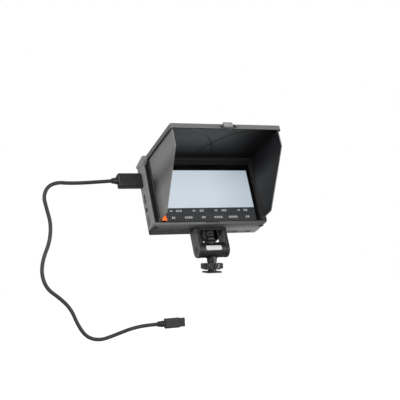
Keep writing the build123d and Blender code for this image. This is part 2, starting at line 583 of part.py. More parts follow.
# back cover: a moulded shell that draws in towards the rear
with BuildPart() as rear_cover:
    with BuildSketch(level(0)):
        with BuildLine():
            Polyline((-HALF, FRAME_DEPTH), (-HALF, TAPER_START), (-HALF + TAPER_SIDE, BODY_DEPTH),
                     (HALF - TAPER_SIDE, BODY_DEPTH), (HALF, TAPER_START), (HALF, FRAME_DEPTH), close=True)
        make_face()
    extrude(amount=BODY_HEIGHT)
    with BuildSketch(side(-HALF)):
        with BuildLine():
            Polyline((FRAME_DEPTH, 0), (BODY_DEPTH - 1.5, 0), (BODY_DEPTH, 1.5),
                     (BODY_DEPTH, BODY_HEIGHT - TAPER_TOP), (TAPER_START, BODY_HEIGHT),
                     (FRAME_DEPTH, BODY_HEIGHT), close=True)
        make_face()
    extrude(amount=BODY_WIDTH, mode=Mode.INTERSECT)
    with BuildSketch(front(BODY_DEPTH)):
        body_outline()
    extrude(amount=BODY_DEPTH, mode=Mode.INTERSECT)
    # inside
    with BuildSketch(level(WALL)):
        with BuildLine():
            Polyline((-HALF + WALL, FRAME_DEPTH), (-HALF + WALL, TAPER_START),
                     (-HALF + TAPER_SIDE + WALL, BODY_DEPTH - WALL),
                     (HALF - TAPER_SIDE - WALL, BODY_DEPTH - WALL), (HALF - WALL, TAPER_START),
                     (HALF - WALL, FRAME_DEPTH), close=True)
        make_face()
    extrude(amount=BODY_HEIGHT - TAPER_TOP - 2 * WALL, mode=Mode.SUBTRACT)
    with BuildSketch(side(-HALF + WALL)):
        with Locations(((FRAME_DEPTH + TAPER_START - 1) / 2, (BODY_HEIGHT + 40) / 2)):
            Rectangle(TAPER_START - 1 - FRAME_DEPTH, BODY_HEIGHT - 40 - 2 * WALL)
    extrude(amount=BODY_WIDTH - 2 * WALL, mode=Mode.SUBTRACT)
    for x in (-HALF - 1, CHEEK_X - FIT):
        with BuildSketch(side(x)):
            add(cheek_outline(FIT))
        extrude(amount=HALF - CHEEK_X + 1 + FIT, mode=Mode.SUBTRACT)
    # boss of the camera thread
    with BuildSketch(level(WALL - 0.5)):
        with Locations((0, PIVOT_DEPTH)):
            Circle(BOSS_RADIUS)
    extrude(amount=INSERT_LENGTH)
    with BuildSketch(level(0)):
        with Locations((0, PIVOT_DEPTH)):
            Circle(INSERT_RADIUS + FIT)
    extrude(amount=INSERT_LENGTH, mode=Mode.SUBTRACT)
    # four screw bosses behind the frame
    for x in (-COVER_SCREW_X, COVER_SCREW_X):
        for up in COVER_SCREW_UPS:
            with BuildSketch(front(BODY_DEPTH - 1)):
                with Locations((x, up)):
                    Circle(COVER_BOSS_RADIUS)
            extrude(amount=BODY_DEPTH - 1 - FRAME_DEPTH)
            with BuildSketch(front(BODY_DEPTH)):
                with Locations((x, up)):
                    Circle(COVER_SCREW_RADIUS + FIT)
            extrude(amount=BODY_DEPTH, mode=Mode.SUBTRACT)
            with BuildSketch(front(BODY_DEPTH)):
                with Locations((x, up)):
                    Circle(SCREW_HEAD_RADIUS + 0.2)
            extrude(amount=SCREW_RECESS, mode=Mode.SUBTRACT)
    # side sockets: wide, slim and round
    with BuildSketch(side(-HALF)):
        with Locations((PORT_DEPTH, HDMI_UP)):
            RectangleRounded(HDMI_SHORT + 2 * FIT, HDMI_LONG + 2 * FIT, 0.8)
        with Locations((PORT_DEPTH, MINI_UP)):
            RectangleRounded(MINI_SHORT + 2 * FIT, MINI_LONG + 2 * FIT, 0.8)
        with Locations((PORT_DEPTH, JACK_UP)):
            Circle(JACK_RADIUS + FIT)
    extrude(amount=WALL, mode=Mode.SUBTRACT)
    # slanted vents near the lower left corner
    with BuildSketch(side(-HALF)):
        for number in range(SIDE_VENTS):
            with Locations(Location((SIDE_VENT_DEPTH, SIDE_VENT_UP + number * SIDE_VENT_PITCH), -28)):
                Rectangle(6.4, VENT_SLOT)
    extrude(amount=WALL, mode=Mode.SUBTRACT)
    # underside: vents, power socket, locating slots
    with BuildSketch(level(0)):
        for number in range(BASE_VENTS):
            with Locations(Location((DC_X - DC_TO_VENTS + number * BASE_VENT_PITCH, BASE_PORT_DEPTH), 58)):
                Rectangle(8.0, VENT_SLOT)
        with Locations((DC_X, BASE_PORT_DEPTH)):
            Rectangle(DC_LONG + 2 * FIT, DC_SHORT + 2 * FIT)
    extrude(amount=WALL, mode=Mode.SUBTRACT)
    with BuildSketch(level(0)):
        with Locations((24.0 - HALF, SEAM_DEPTH)):
            SlotOverall(5.4, 2.2)
        with Locations((38.0 - HALF, SEAM_DEPTH - 1.0)):
            SlotOverall(8.0, 2.0)
        with Locations(Location((47.0 - HALF, SEAM_DEPTH), 62)):
            SlotOverall(6.0, 1.2)
    extrude(amount=SEAM_MARK_DEPTH, mode=Mode.SUBTRACT)
    # key holes in the top wall
    with BuildSketch(level(BODY_HEIGHT)):
        for number in range(5):
            with Locations((FIRST_KEY_X + number * KEY_PITCH, KEY_DEPTH)):
                RectangleRounded(KEY_LONG + 2 * GAP, KEY_SHORT + 2 * GAP, 1.4)
    extrude(amount=-WALL, mode=Mode.SUBTRACT)
    # cooling louvres across the back, each side of the battery plate
    with BuildSketch(front(BODY_DEPTH)):
        for x in (LOUVRE_INSET - HALF, HALF - LOUVRE_INSET):
            for number in range(LOUVRES):
                with Locations((x, LOUVRE_SILL + number * LOUVRE_PITCH)):
                    Rectangle(LOUVRE_LONG, 1.8)
    extrude(amount=WALL, mode=Mode.SUBTRACT)
save(rear_cover, "rear_cover")

# brass insert with the camera thread
with BuildPart() as thread_insert:
    with BuildSketch(level(0)):
        with Locations((0, PIVOT_DEPTH)):
            Circle(INSERT_RADIUS)
            Circle(SCREW_RADIUS + FIT, mode=Mode.SUBTRACT)
    extrude(amount=INSERT_LENGTH)
save(thread_insert, "thread_insert")

# four screws that hold the back to the frame
with BuildPart() as cover_screws:
    for x in (-COVER_SCREW_X, COVER_SCREW_X):
        for up in COVER_SCREW_UPS:
            with BuildSketch(front(BODY_DEPTH - SCREW_RECESS)):
                with Locations((x, up)):
                    Circle(SCREW_HEAD_RADIUS)
            extrude(amount=-SCREW_HEAD_THICKNESS)
            with BuildSketch(front(BODY_DEPTH - SCREW_RECESS)):
                with Locations((x, up)):
                    Circle(COVER_SCREW_RADIUS)
            extrude(amount=BODY_DEPTH - SCREW_RECESS - FRAME_DEPTH)
            with BuildSketch(front(BODY_DEPTH - SCREW_RECESS + SCREW_HEAD_THICKNESS)):
                with Locations((x, up)):
                    Rectangle(3.2, 0.7)
                    Rectangle(0.7, 3.2)
            extrude(amount=1.0, mode=Mode.SUBTRACT)
save(cover_screws, "cover_screws")

# main board behind the panel
with BuildPart() as main_board:
    with BuildSketch(front(BOARD_DEPTH + BOARD_THICKNESS)):
        with Locations((BOARD_X, BOARD_SILL + BOARD_HEIGHT / 2)):
            Rectangle(BOARD_WIDTH, BOARD_HEIGHT)
    extrude(amount=BOARD_THICKNESS)
    with BuildSketch(front(BOARD_DEPTH)):
        with Locations((-20, 50), (18, 42)):
            Rectangle(16, 16)
        with Locations((40, 28), (-36, 26)):
            Rectangle(9, 7)
    extrude(amount=1.4)
save(main_board, "main_board")


def socket(name, up, long, short, opening_long, opening_short, length):
    """Metal shell of a side socket with its tongue, let into the left wall."""
    with BuildPart() as shell:
        with BuildSketch(side(-HALF + 0.6)):
            with Locations((PORT_DEPTH, up)):
                RectangleRounded(short, long, 0.8)
        extrude(amount=length)
        with BuildSketch(side(-HALF + 0.6)):
            with Locations((PORT_DEPTH, up)):
                RectangleRounded(opening_short, opening_long, 0.5)
        extrude(amount=length - 1.5, mode=Mode.SUBTRACT)
    save(shell, name)


socket("hdmi_input_socket", HDMI_UP, HDMI_LONG, HDMI_SHORT, TONGUE_LONG + 0.3, TONGUE_SHORT + 0.3, 12.0)
socket("mini_output_socket", MINI_UP, MINI_LONG, MINI_SHORT, MINI_LONG - 1.2, MINI_SHORT - 1.2, 8.0)

# round headphone socket
with BuildPart() as headphone_socket:
    with BuildSketch(side(-HALF + 0.4)):
        with Locations((PORT_DEPTH, JACK_UP)):
            Circle(JACK_RADIUS)
            Circle(JACK_BORE, mode=Mode.SUBTRACT)
    extrude(amount=12.0)
save(headphone_socket, "headphone_socket")

# power socket in the underside, with its metal tongue
with BuildPart() as power_socket:
    with BuildSketch(level(0.8)):
        with Locations((DC_X, BASE_PORT_DEPTH)):
            Rectangle(DC_LONG, DC_SHORT)
    extrude(amount=9.0)
    with BuildSketch(level(0.8)):
        with Locations((DC_X, BASE_PORT_DEPTH)):
            Rectangle(DC_LONG - 1.6, DC_SHORT - 1.6)
    extrude(amount=6.5, mode=Mode.SUBTRACT)
    with BuildSketch(level(1.6)):
        with Locations((DC_X, BASE_PORT_DEPTH)):
            Rectangle(DC_LONG - 5.0, 1.4)
    extrude(amount=6.0)
save(power_socket, "power_socket")

# strip of key switches under the top wall
KEY_SEAT = BODY_HEIGHT - WALL - KEY_FLANGE - KEY_TRAVEL
KEYS_MIDDLE = FIRST_KEY_X + 2 * KEY_PITCH
KEY_BOARD_HALF = TAPER_START - 1 - KEY_DEPTH - 0.1
with BuildPart() as key_board:
    with BuildSketch(level(KEY_SEAT - 3.0)):
        with Locations((KEYS_MIDDLE, KEY_DEPTH)):
            Rectangle(5 * KEY_PITCH, 2 * KEY_BOARD_HALF)
    extrude(amount=1.2)
    with BuildSketch(level(KEY_SEAT - 1.8)):
        for number in range(5):
            with Locations((FIRST_KEY_X + number * KEY_PITCH, KEY_DEPTH)):
                Rectangle(3.4, 3.4)
    extrude(amount=1.8 - GAP)
save(key_board, "key_board")

# the keys themselves
for number, name in enumerate(("menu_key", "left_key", "right_key", "input_key", "power_key")):
    with BuildPart() as key:
        with BuildSketch(level(KEY_SEAT + KEY_TRAVEL)):
            with Locations((FIRST_KEY_X + number * KEY_PITCH, KEY_DEPTH)):
                RectangleRounded(KEY_LONG + 1.6, KEY_SHORT + 1.6, 1.2)
        extrude(amount=KEY_FLANGE - 0.1)
        with BuildSketch(level(KEY_SEAT + KEY_TRAVEL)):
            with Locations((FIRST_KEY_X + number * KEY_PITCH, KEY_DEPTH)):
                RectangleRounded(KEY_LONG, KEY_SHORT, 1.2)
        extrude(amount=KEY_FLANGE + WALL + KEY_PROUD)
        chamfer(key.faces().sort_by(UP_AXIS)[-1].edges(), 0.3)
    save(key, name)

# ================================================================ battery plate
PLATE_BACK = BODY_DEPTH + PLATE_THICKNESS
PLATE_MIDDLE = PLATE_SILL + PLATE_HEIGHT / 2
with BuildPart() as battery_plate:
    with BuildSketch(front(PLATE_BACK)):
        with Locations((0, PLATE_MIDDLE)):
            RectangleRounded(PLATE_WIDTH, PLATE_HEIGHT, 2.0)
    extrude(amount=PLATE_THICKNESS)
    for end in (-1, 1):
        with BuildSketch(level(PLATE_SILL + 6)):
            with BuildLine():
                Polyline((end * PLATE_WIDTH / 2, PLATE_BACK - 0.5),
                         (end * PLATE_WIDTH / 2, PLATE_BACK + RAIL_HEIGHT),
                         (end * (PLATE_WIDTH / 2 - RAIL_WIDTH - RAIL_LIP), PLATE_BACK + RAIL_HEIGHT),
                         (end * (PLATE_WIDTH / 2 - RAIL_WIDTH - RAIL_LIP),
                          PLATE_BACK + RAIL_HEIGHT - RAIL_LIP_THICKNESS),
                         (end * (PLATE_WIDTH / 2 - RAIL_WIDTH), PLATE_BACK + RAIL_HEIGHT - RAIL_LIP_THICKNESS),
                         (end * (PLATE_WIDTH / 2 - RAIL_WIDTH), PLATE_BACK - 0.5), close=True)
            make_face()
        extrude(amount=PLATE_HEIGHT - 12)
    # gaps that let the battery's hooks in
    with BuildSketch(front(PLATE_BACK)):
        with Locations((0, PLATE_SILL + 20), (0, PLATE_SILL + 42)):
            Rectangle(PLATE_WIDTH + 2, 7.0)
    extrude(amount=-RAIL_HEIGHT - 1, mode=Mode.SUBTRACT)
    # seat of the contact block and of the catch
    with BuildSketch(front(PLATE_BACK)):
        with Locations((0, PLATE_SILL + 6)):
            Rectangle(CONTACT_BLOCK_WIDTH + 2 * FIT, 6.0 + 2 * FIT)
        with Locations((0, PLATE_SILL + PLATE_HEIGHT - CATCH_HEIGHT - 2)):
            Rectangle(CATCH_WIDTH + 2 * GAP, CATCH_HEIGHT + CATCH_TRAVEL + 2 * GAP)
    extrude(amount=1.6, mode=Mode.SUBTRACT)
save(battery_plate, "battery_plate")

with BuildPart() as battery_contacts:
    with BuildSketch(front(PLATE_BACK - 1.6)):
        with Locations((0, PLATE_SILL + 6)):
            Rectangle(CONTACT_BLOCK_WIDTH, 6.0)
    extrude(amount=-1.6 - 2.6)
    with BuildSketch(level(PLATE_SILL + 6)):
        with Locations((-6, PLATE_BACK + 1.4), (0, PLATE_BACK + 1.4), (6, PLATE_BACK + 1.4)):
            Rectangle(1.4, 3.0)
    extrude(amount=3.5, mode=Mode.SUBTRACT)
save(battery_contacts, "battery_contacts")

with BuildPart() as battery_catch:
    with BuildSketch(front(PLATE_BACK - 1.5)):
        with Locations((0, PLATE_SILL + PLATE_HEIGHT - CATCH_HEIGHT - 2 + CATCH_TRAVEL / 2)):
            Rectangle(CATCH_WIDTH, CATCH_HEIGHT)
    extrude(amount=-1.5 - 1.6)
    chamfer(battery_catch.faces().sort_by(INTO_AXIS)[-1].edges().sort_by(UP_AXIS)[0], 1.2)
save(battery_catch, "battery_catch")

# ================================================================ sun hood

# hinge cheeks: end caps of the lid's pivot, let into the body's top corners
with BuildPart() as hinge_cheeks:
    for x in (-HALF - CHEEK_PROUD, CHEEK_X):
        with BuildSketch(side(x)):
            add(cheek_outline())
            with Locations((-LID_PIVOT_REACH, LID_PIVOT_UP)):
                Circle(LID_PIN_RADIUS + FIT, mode=Mode.SUBTRACT)
        extrude(amount=HALF + CHEEK_PROUD - CHEEK_X)
save(hinge_cheeks, "hinge_cheeks")

with BuildPart() as lid_pins:
    for end in (-1, 1):
        with BuildSketch(side(end * (LID_HALF - LID_RIM_WALL - 0.2))):
            with Locations((-LID_PIVOT_REACH, LID_PIVOT_UP)):
                Circle(LID_PIN_RADIUS)
        extrude(amount=end * (HALF - LID_HALF + LID_RIM_WALL))
save(lid_pins, "lid_pins")

# top flap: a shallow tray, open at the hinge
with BuildPart() as hood_lid:
    with BuildSketch(level(LID_TOP)):
        with Locations((0, -(LID_REACH + LID_BACK) / 2)):
            Rectangle(LID_WIDTH, LID_REACH - LID_BACK)
    extrude(amount=-LID_RIM)
    free_corners = hood_lid.edges().filter_by(UP_AXIS).group_by(INTO_AXIS)[0]
    fillet(free_corners, 3.0)
    chamfer(hood_lid.faces().sort_by(UP_AXIS)[-1].edges(), 0.6)
    with BuildSketch(level(LID_UNDER + LINING_THICKNESS)):
        with Locations((0, -(LID_REACH - LID_RIM_WALL) / 2)):
            Rectangle(LID_WIDTH - 2 * LID_RIM_WALL, LID_REACH - LID_RIM_WALL)
    extrude(amount=-LID_RIM, mode=Mode.SUBTRACT)
    for x in (-LID_HALF, LID_HALF - LID_RIM_WALL):
        with BuildSketch(side(x)):
            with Locations((-LID_PIVOT_REACH, LID_PIVOT_UP)):
                Circle(LID_EAR_RADIUS)
        extrude(amount=LID_RIM_WALL)
        with BuildSketch(side(x)):
            with Locations((-LID_PIVOT_REACH, LID_PIVOT_UP)):
                Circle(LID_PIN_RADIUS + RUN)
        extrude(amount=LID_RIM_WALL, mode=Mode.SUBTRACT)
    # lugs of the latch pin on the rim
    for end in (-1, 1):
        with BuildSketch(side(LATCH_X + end * (LATCH_WIDTH / 2 + GAP))):
            with Locations((-LATCH_PIVOT_REACH, LATCH_PIVOT_UP)):
                Circle(LATCH_BARREL_RADIUS + 0.2)
            with Locations((-(LATCH_PIVOT_REACH + LID_REACH - 0.6) / 2, LATCH_PIVOT_UP)):
                Rectangle(LATCH_PIVOT_REACH - LID_REACH + 0.6, 2 * LATCH_BARREL_RADIUS + 0.4)
            with Locations((-LATCH_PIVOT_REACH, LATCH_PIVOT_UP)):
                Circle(LATCH_PIN_RADIUS + FIT, mode=Mode.SUBTRACT)
        extrude(amount=end * LATCH_LUG_WIDTH)
save(hood_lid, "hood_lid")

# lining sheet stuck under the lid, with the tracks of the wings' pegs cut through it
LINING_REACH = LID_REACH - LID_RIM_WALL - FIT
with BuildPart() as lid_lining:
    with BuildSketch(level(LID_UNDER)):
        with Locations((0, -(LINING_REACH + LID_BACK) / 2)):
            Rectangle(LID_WIDTH - 2 * (LID_RIM_WALL + FIT), LINING_REACH - LID_BACK)
    extrude(amount=LINING_THICKNESS)
    # the left track runs out at the rear edge, the right one ends behind its peg
    for end, reach, track_end in ((-1, LEFT_HINGE, 0.0), (1, RIGHT_HINGE, RIGHT_HINGE - PEG_RADIUS - 0.2)):
        with BuildSketch(level(LID_UNDER)):
            with Locations((end * WING_X, -reach)):
                Circle(TRACK_RADIUS + TRACK_HALF)
                Circle(TRACK_RADIUS - TRACK_HALF, mode=Mode.SUBTRACT)
            with Locations((0, -(LID_REACH + track_end) / 2)):
                Rectangle(2 * (WING_X + 1.2), LID_REACH - track_end, mode=Mode.INTERSECT)
        extrude(amount=LINING_THICKNESS, mode=Mode.SUBTRACT)
save(lid_lining, "lid_lining")


def wing(name, hinge_x, reach):
    """Side flap on its hinge barrel, with the peg that follows the lid's track."""
    barrel_foot = LUG_SILL + LUG_HEIGHT + GAP
    barrel_top = LUG_TOP - LUG_HEIGHT - GAP
    lug_clear = WING_BARREL_RADIUS + GAP + 0.3
    with BuildPart() as flap:
        with BuildSketch(side(hinge_x - WING_THICKNESS / 2)) as outline:
            with BuildLine():
                Polyline((-reach - lug_clear, WING_SILL), (-reach - WING_FOOT_REACH, WING_SILL),
                         (-reach - WING_REACH, WING_TOP - WING_TIP_HEIGHT), (-reach - WING_REACH, WING_TOP),
                         (-reach - lug_clear, WING_TOP), close=True)
            make_face()
            fillet(outline.vertices().sort_by(Axis.X)[:3], 2.5)
        extrude(amount=WING_THICKNESS)
        with BuildSketch(side(hinge_x - WING_THICKNESS / 2)):
            with Locations((-reach - lug_clear / 2, (barrel_foot + barrel_top) / 2)):
                Rectangle(lug_clear + 1.0, barrel_top - barrel_foot)
        extrude(amount=WING_THICKNESS)
        with BuildSketch(level(barrel_foot)):
            with Locations((hinge_x, -reach)):
                Circle(WING_BARREL_RADIUS)
        extrude(amount=barrel_top - barrel_foot)
        with BuildSketch(level(barrel_foot)):
            with Locations((hinge_x, -reach)):
                Circle(WING_PIN_RADIUS + RUN)
        extrude(amount=barrel_top - barrel_foot, mode=Mode.SUBTRACT)
        with BuildSketch(level(WING_TOP - 3.0)):
            with Locations((hinge_x, -reach - TRACK_RADIUS)):
                Circle(PEG_RADIUS)
        extrude(amount=3.0 + PEG_HEIGHT)
    save(flap, name)


wing("wing_left", -WING_X, LEFT_HINGE)
wing("wing_right", WING_X, RIGHT_HINGE)

# hinge pins of the wings, one at each end of each barrel
with BuildPart() as wing_pins:
    for hinge_x, reach in ((-WING_X, LEFT_HINGE), (WING_X, RIGHT_HINGE)):
        for foot in (LUG_SILL, LUG_TOP - LUG_HEIGHT - PIN_INSERTION):
            with BuildSketch(level(foot)):
                with Locations((hinge_x, -reach)):
                    Circle(WING_PIN_RADIUS)
            extrude(amount=LUG_HEIGHT + PIN_INSERTION)
save(wing_pins, "wing_pins")

# sprung latch on the lid's free edge: pressing its top lifts the hook below
with BuildPart() as lid_latch:
    with BuildSketch(side(LATCH_X - LATCH_WIDTH / 2)):
        with BuildLine():
            Polyline((-LATCH_BACK, LATCH_TOP - 0.6), (-LATCH_BACK - 0.6, LATCH_TOP),
                     (-LATCH_BACK - LATCH_THICKNESS + 0.5, LATCH_TOP),
                     (-LATCH_BACK - LATCH_THICKNESS, LATCH_TOP - 1.2),
                     (-LATCH_BACK - LATCH_THICKNESS, LATCH_BOTTOM + 1.0),
                     (-LATCH_BACK - LATCH_THICKNESS + 0.8, LATCH_BOTTOM),
                     (-LATCH_BACK + 0.6, LATCH_BOTTOM), (-LATCH_BACK + 0.6, LATCH_BOTTOM + 0.8),
                     (-LATCH_BACK, LATCH_BOTTOM + 1.4), close=True)
        make_face()
        with Locations((-LATCH_PIVOT_REACH, LATCH_PIVOT_UP)):
            Circle(LATCH_BARREL_RADIUS)
            Circle(LATCH_PIN_RADIUS + RUN, mode=Mode.SUBTRACT)
    extrude(amount=LATCH_WIDTH)
    # finger grooves along the press end
    with BuildSketch(side(LATCH_X - LATCH_WIDTH / 2 + 1.5)):
        with Locations(*[(-LATCH_BACK - LATCH_THICKNESS, LATCH_TOP - 1.8 - 0.9 * n) for n in range(3)]):
            Circle(0.25)
    extrude(amount=LATCH_WIDTH - 3.0, mode=Mode.SUBTRACT)
save(lid_latch, "lid_latch")

with BuildPart() as latch_pin:
    with BuildSketch(side(LATCH_X - LATCH_WIDTH / 2 - GAP - LATCH_LUG_WIDTH)):
        with Locations((-LATCH_PIVOT_REACH, LATCH_PIVOT_UP)):
            Circle(LATCH_PIN_RADIUS)
    extrude(amount=LATCH_WIDTH + 2 * (GAP + LATCH_LUG_WIDTH))
save(latch_pin, "latch_pin")

# ================================================================ video cable
CABLE_RADIUS = CABLE_DIAMETER / 2
PLUG_X = -HALF - 1.0
route_points = [Vector(*point) for point in CABLE_ROUTE]
CABLE_START = Plane(origin=route_points[0], x_dir=INTO, z_dir=route_points[0] - route_points[1])

# plug in the monitor: moulded grip, metal tongue in the socket, tapered boot
with BuildPart() as hdmi_plug:
    with BuildSketch(side(PLUG_X)):
        with Locations((PORT_DEPTH, HDMI_UP)):
            RectangleRounded(PLUG_THICK, PLUG_TALL, 2.2)
    extrude(amount=-PLUG_LENGTH)
    chamfer(hdmi_plug.faces().sort_by(Axis.X)[0].edges(), 1.0)
    chamfer(hdmi_plug.faces().sort_by(Axis.X)[-1].edges(), 0.4)
    with BuildSketch(side(PLUG_X)):
        with Locations((PORT_DEPTH, HDMI_UP)):
            RectangleRounded(TONGUE_SHORT, TONGUE_LONG, 0.4)
    extrude(amount=TONGUE_LENGTH)
    with BuildSketch(side(PLUG_X - PLUG_LENGTH)):
        with Locations((PORT_DEPTH, HDMI_UP)):
            Circle(BOOT_RADIUS + 0.6)
    with BuildSketch(CABLE_START):
        Circle(BOOT_RADIUS - 0.4)
    loft()
    with BuildSketch(side(PLUG_X - PLUG_LENGTH - 3)):
        with Locations((PORT_DEPTH, HDMI_UP)):
            Circle(BOOT_RADIUS + 0.6)
    extrude(amount=3.5)
save(hdmi_plug, "hdmi_plug")

# the cable: straight runs joined by large tangent arcs
radii = []
for before, here, after in zip(route_points, route_points[1:], route_points[2:]):
    turn = radians((here - before).get_angle(after - here))
    shorter = min((here - before).length, (after - here).length)
    radii.append(round(0.45 * shorter / tan(turn / 2), 2))
print("cable radii:", radii)
with BuildPart() as hdmi_cable:
    with BuildLine() as route:
        FilletPolyline(*route_points, radius=radii)
    with BuildSketch(CABLE_START):
        Circle(CABLE_RADIUS)
    sweep(path=route.line)
    cable_length = sum(edge.length for edge in route.edges())
print("cable length:", round(cable_length, 1),
      "volume ratio:", round(hdmi_cable.part.volume / (pi * CABLE_RADIUS ** 2 * cable_length), 4))
save(hdmi_cable, "hdmi_cable")

# plug for the camera at the free end, in line with the cable's last run
FAR_DIRECTION = (route_points[-1] - route_points[-2]).normalized()


def far(along):
    """Plane across the free end, a distance along it past the end of the cable."""
    return Plane(origin=route_points[-1] + FAR_DIRECTION * along, x_dir=(0, 1, 0), z_dir=FAR_DIRECTION)


with BuildPart() as camera_plug:
    with BuildSketch(far(0)):
        Circle(BOOT_RADIUS - 0.4)
    with BuildSketch(far(BOOT_LENGTH)):
        Circle(BOOT_RADIUS + 0.2)
    loft()
    with BuildSketch(far(BOOT_LENGTH)):
        RectangleRounded(FAR_PLUG_THICK, FAR_PLUG_TALL, 1.8)
    extrude(amount=FAR_PLUG_LENGTH)
    with BuildSketch(far(BOOT_LENGTH + FAR_PLUG_LENGTH)):
        RectangleRounded(FAR_TONGUE_SHORT, FAR_TONGUE_LONG, 0.4)
    extrude(amount=FAR_TONGUE_LENGTH)
save(camera_plug, "camera_plug")
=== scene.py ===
import bmesh
import bpy
from math import cos, pi, radians, sin
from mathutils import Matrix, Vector


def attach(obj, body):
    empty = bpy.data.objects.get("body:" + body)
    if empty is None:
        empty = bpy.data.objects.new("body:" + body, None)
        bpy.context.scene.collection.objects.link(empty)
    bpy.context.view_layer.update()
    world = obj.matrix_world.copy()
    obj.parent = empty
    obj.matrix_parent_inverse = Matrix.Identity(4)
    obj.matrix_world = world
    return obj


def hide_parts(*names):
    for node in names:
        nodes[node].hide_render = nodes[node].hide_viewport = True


# A camera field monitor with a folding sun hood, on a tilting shoe mount, with its video cable.
# Metres, in the frame of the solids: the shoe foot's underside is the origin and the screen faces -Y.
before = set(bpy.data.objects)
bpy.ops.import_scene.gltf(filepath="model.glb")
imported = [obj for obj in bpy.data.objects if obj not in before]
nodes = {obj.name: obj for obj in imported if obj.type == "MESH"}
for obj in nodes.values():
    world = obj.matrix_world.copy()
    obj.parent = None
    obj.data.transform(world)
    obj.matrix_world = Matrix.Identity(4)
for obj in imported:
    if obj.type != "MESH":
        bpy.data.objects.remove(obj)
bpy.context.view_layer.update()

# ---------------------------------------------------------------- camera
# A long lens stands level with the monitor, some 25 degrees round to its left, 1.25 m away.
camera_data = bpy.data.cameras.new("camera")
camera_data.sensor_width = 36.0
camera_data.lens = 92.8
camera = bpy.data.objects.new("camera", camera_data)
bpy.context.scene.collection.objects.link(camera)
camera.location = (-0.53662, -1.12538, 0.08803)
camera.rotation_euler = (radians(90), radians(0.59), radians(-24.87))
bpy.context.scene.camera = camera
bpy.context.scene.view_settings.view_transform = "Standard"


# ---------------------------------------------------------------- video cable
# Round cable in a soft matte jacket, moulded to a plug at each end.
# It leaves the monitor's left side and sweeps out and down to the camera's side socket.
class Tone:
    """A socket in a material. Sums and products of it add Math nodes."""

    def __init__(self, tree, socket):
        self.tree = tree
        self.socket = socket

    def node(self, kind, settings=None, out=0, **values):
        """Adds a node: its settings first, then a value or a link for each named socket."""
        made = self.tree.nodes.new("ShaderNode" + kind)
        for key, setting in (settings or {}).items():
            setattr(made, key, setting)
        for key, value in values.items():
            place = int(key[1:]) if key[0] == "i" and key[1:].isdigit() else key.replace("_", " ")
            if isinstance(value, Tone):
                self.tree.links.new(value.socket, made.inputs[place])
            else:
                made.inputs[place].default_value = value
        return Tone(self.tree, made.outputs[out])

    def maths(self, operation, first, second=0.0):
        return self.node("Math", {"operation": operation}, i0=first, i1=second)

    def __add__(self, other):
        return self.maths("ADD", self, other)

    def __radd__(self, other):
        return self.maths("ADD", other, self)

    def __sub__(self, other):
        return self.maths("SUBTRACT", self, other)

    def __rsub__(self, other):
        return self.maths("SUBTRACT", other, self)

    def __mul__(self, other):
        return self.maths("MULTIPLY", self, other)

    def __rmul__(self, other):
        return self.maths("MULTIPLY", other, self)

    def __gt__(self, other):
        return self.maths("GREATER_THAN", self, other)

    def __abs__(self):
        return self.maths("ABSOLUTE", self)

    def limit(self):
        """This value kept between 0 and 1."""
        return self.node("Clamp", Value=self)

    def along(self, direction):
        """How far this place lies along a direction."""
        return self.node("VectorMath", {"operation": "DOT_PRODUCT"}, out=1, i0=self, i1=direction)

    def distance(self, centre):
        return self.node("VectorMath", {"operation": "DISTANCE"}, out=1, i0=self, i1=centre)

    def edge(self, start, width):
        """Rises from 0 to 1 over a width, beginning at a start."""
        return ((self - start) * (1.0 / width)).limit()

    def blend(self, low, high):
        """Colour between two others, by this value."""
        low, high = ((*end, 1) if hasattr(end, "__len__") else end for end in (low, high))
        return self.node("Mix", {"data_type": "RGBA"}, out=2, i0=self, i6=low, i7=high)

    def noise(self, scale, detail=2.0):
        """Noise at a number of cells in a metre."""
        return self.node("TexNoise", Vector=self, Scale=scale, Detail=detail)

    def bump(self, strength, distance):
        return self.node("Bump", Height=self, Strength=strength, Distance=distance)

    def coat(self, **values):
        """The finish itself: a Principled shader on the material's surface."""
        self.surface(self.node("BsdfPrincipled", **values))

    def surface(self, shader):
        output = self.tree.nodes.new("ShaderNodeOutputMaterial")
        self.tree.links.new(shader.socket, output.inputs["Surface"])


def finish(name):
    """A new material, and the place on the object as its first tone."""
    material = bpy.data.materials.new(name)
    material.use_nodes = True
    tree = material.node_tree
    tree.nodes.clear()
    place = tree.nodes.new("ShaderNodeTexCoord")
    return material, Tone(tree, place.outputs["Object"])


def dress(piece, *materials):
    if piece.data.materials:
        piece.data.materials.clear()
    for material in materials:
        piece.data.materials.append(material)
    return piece


def link(name, data):
    piece = bpy.data.objects.new(name, data)
    bpy.context.scene.collection.objects.link(piece)
    return piece


def rubber(name, colour, grain, rough=0.5):
    """Soft matte skin: a fine grain and a little handling dust."""
    material, place = finish(name)
    dust = place.noise(60, 3)
    place.coat(
        Base_Color=dust.blend(colour, [c * 1.5 + 0.004 for c in colour]),
        Roughness=dust * 0.16 + rough,
        Specular_IOR_Level=0.4,
        Normal=place.noise(grain, 2).bump(0.25, 0.00006),
    )
    return material


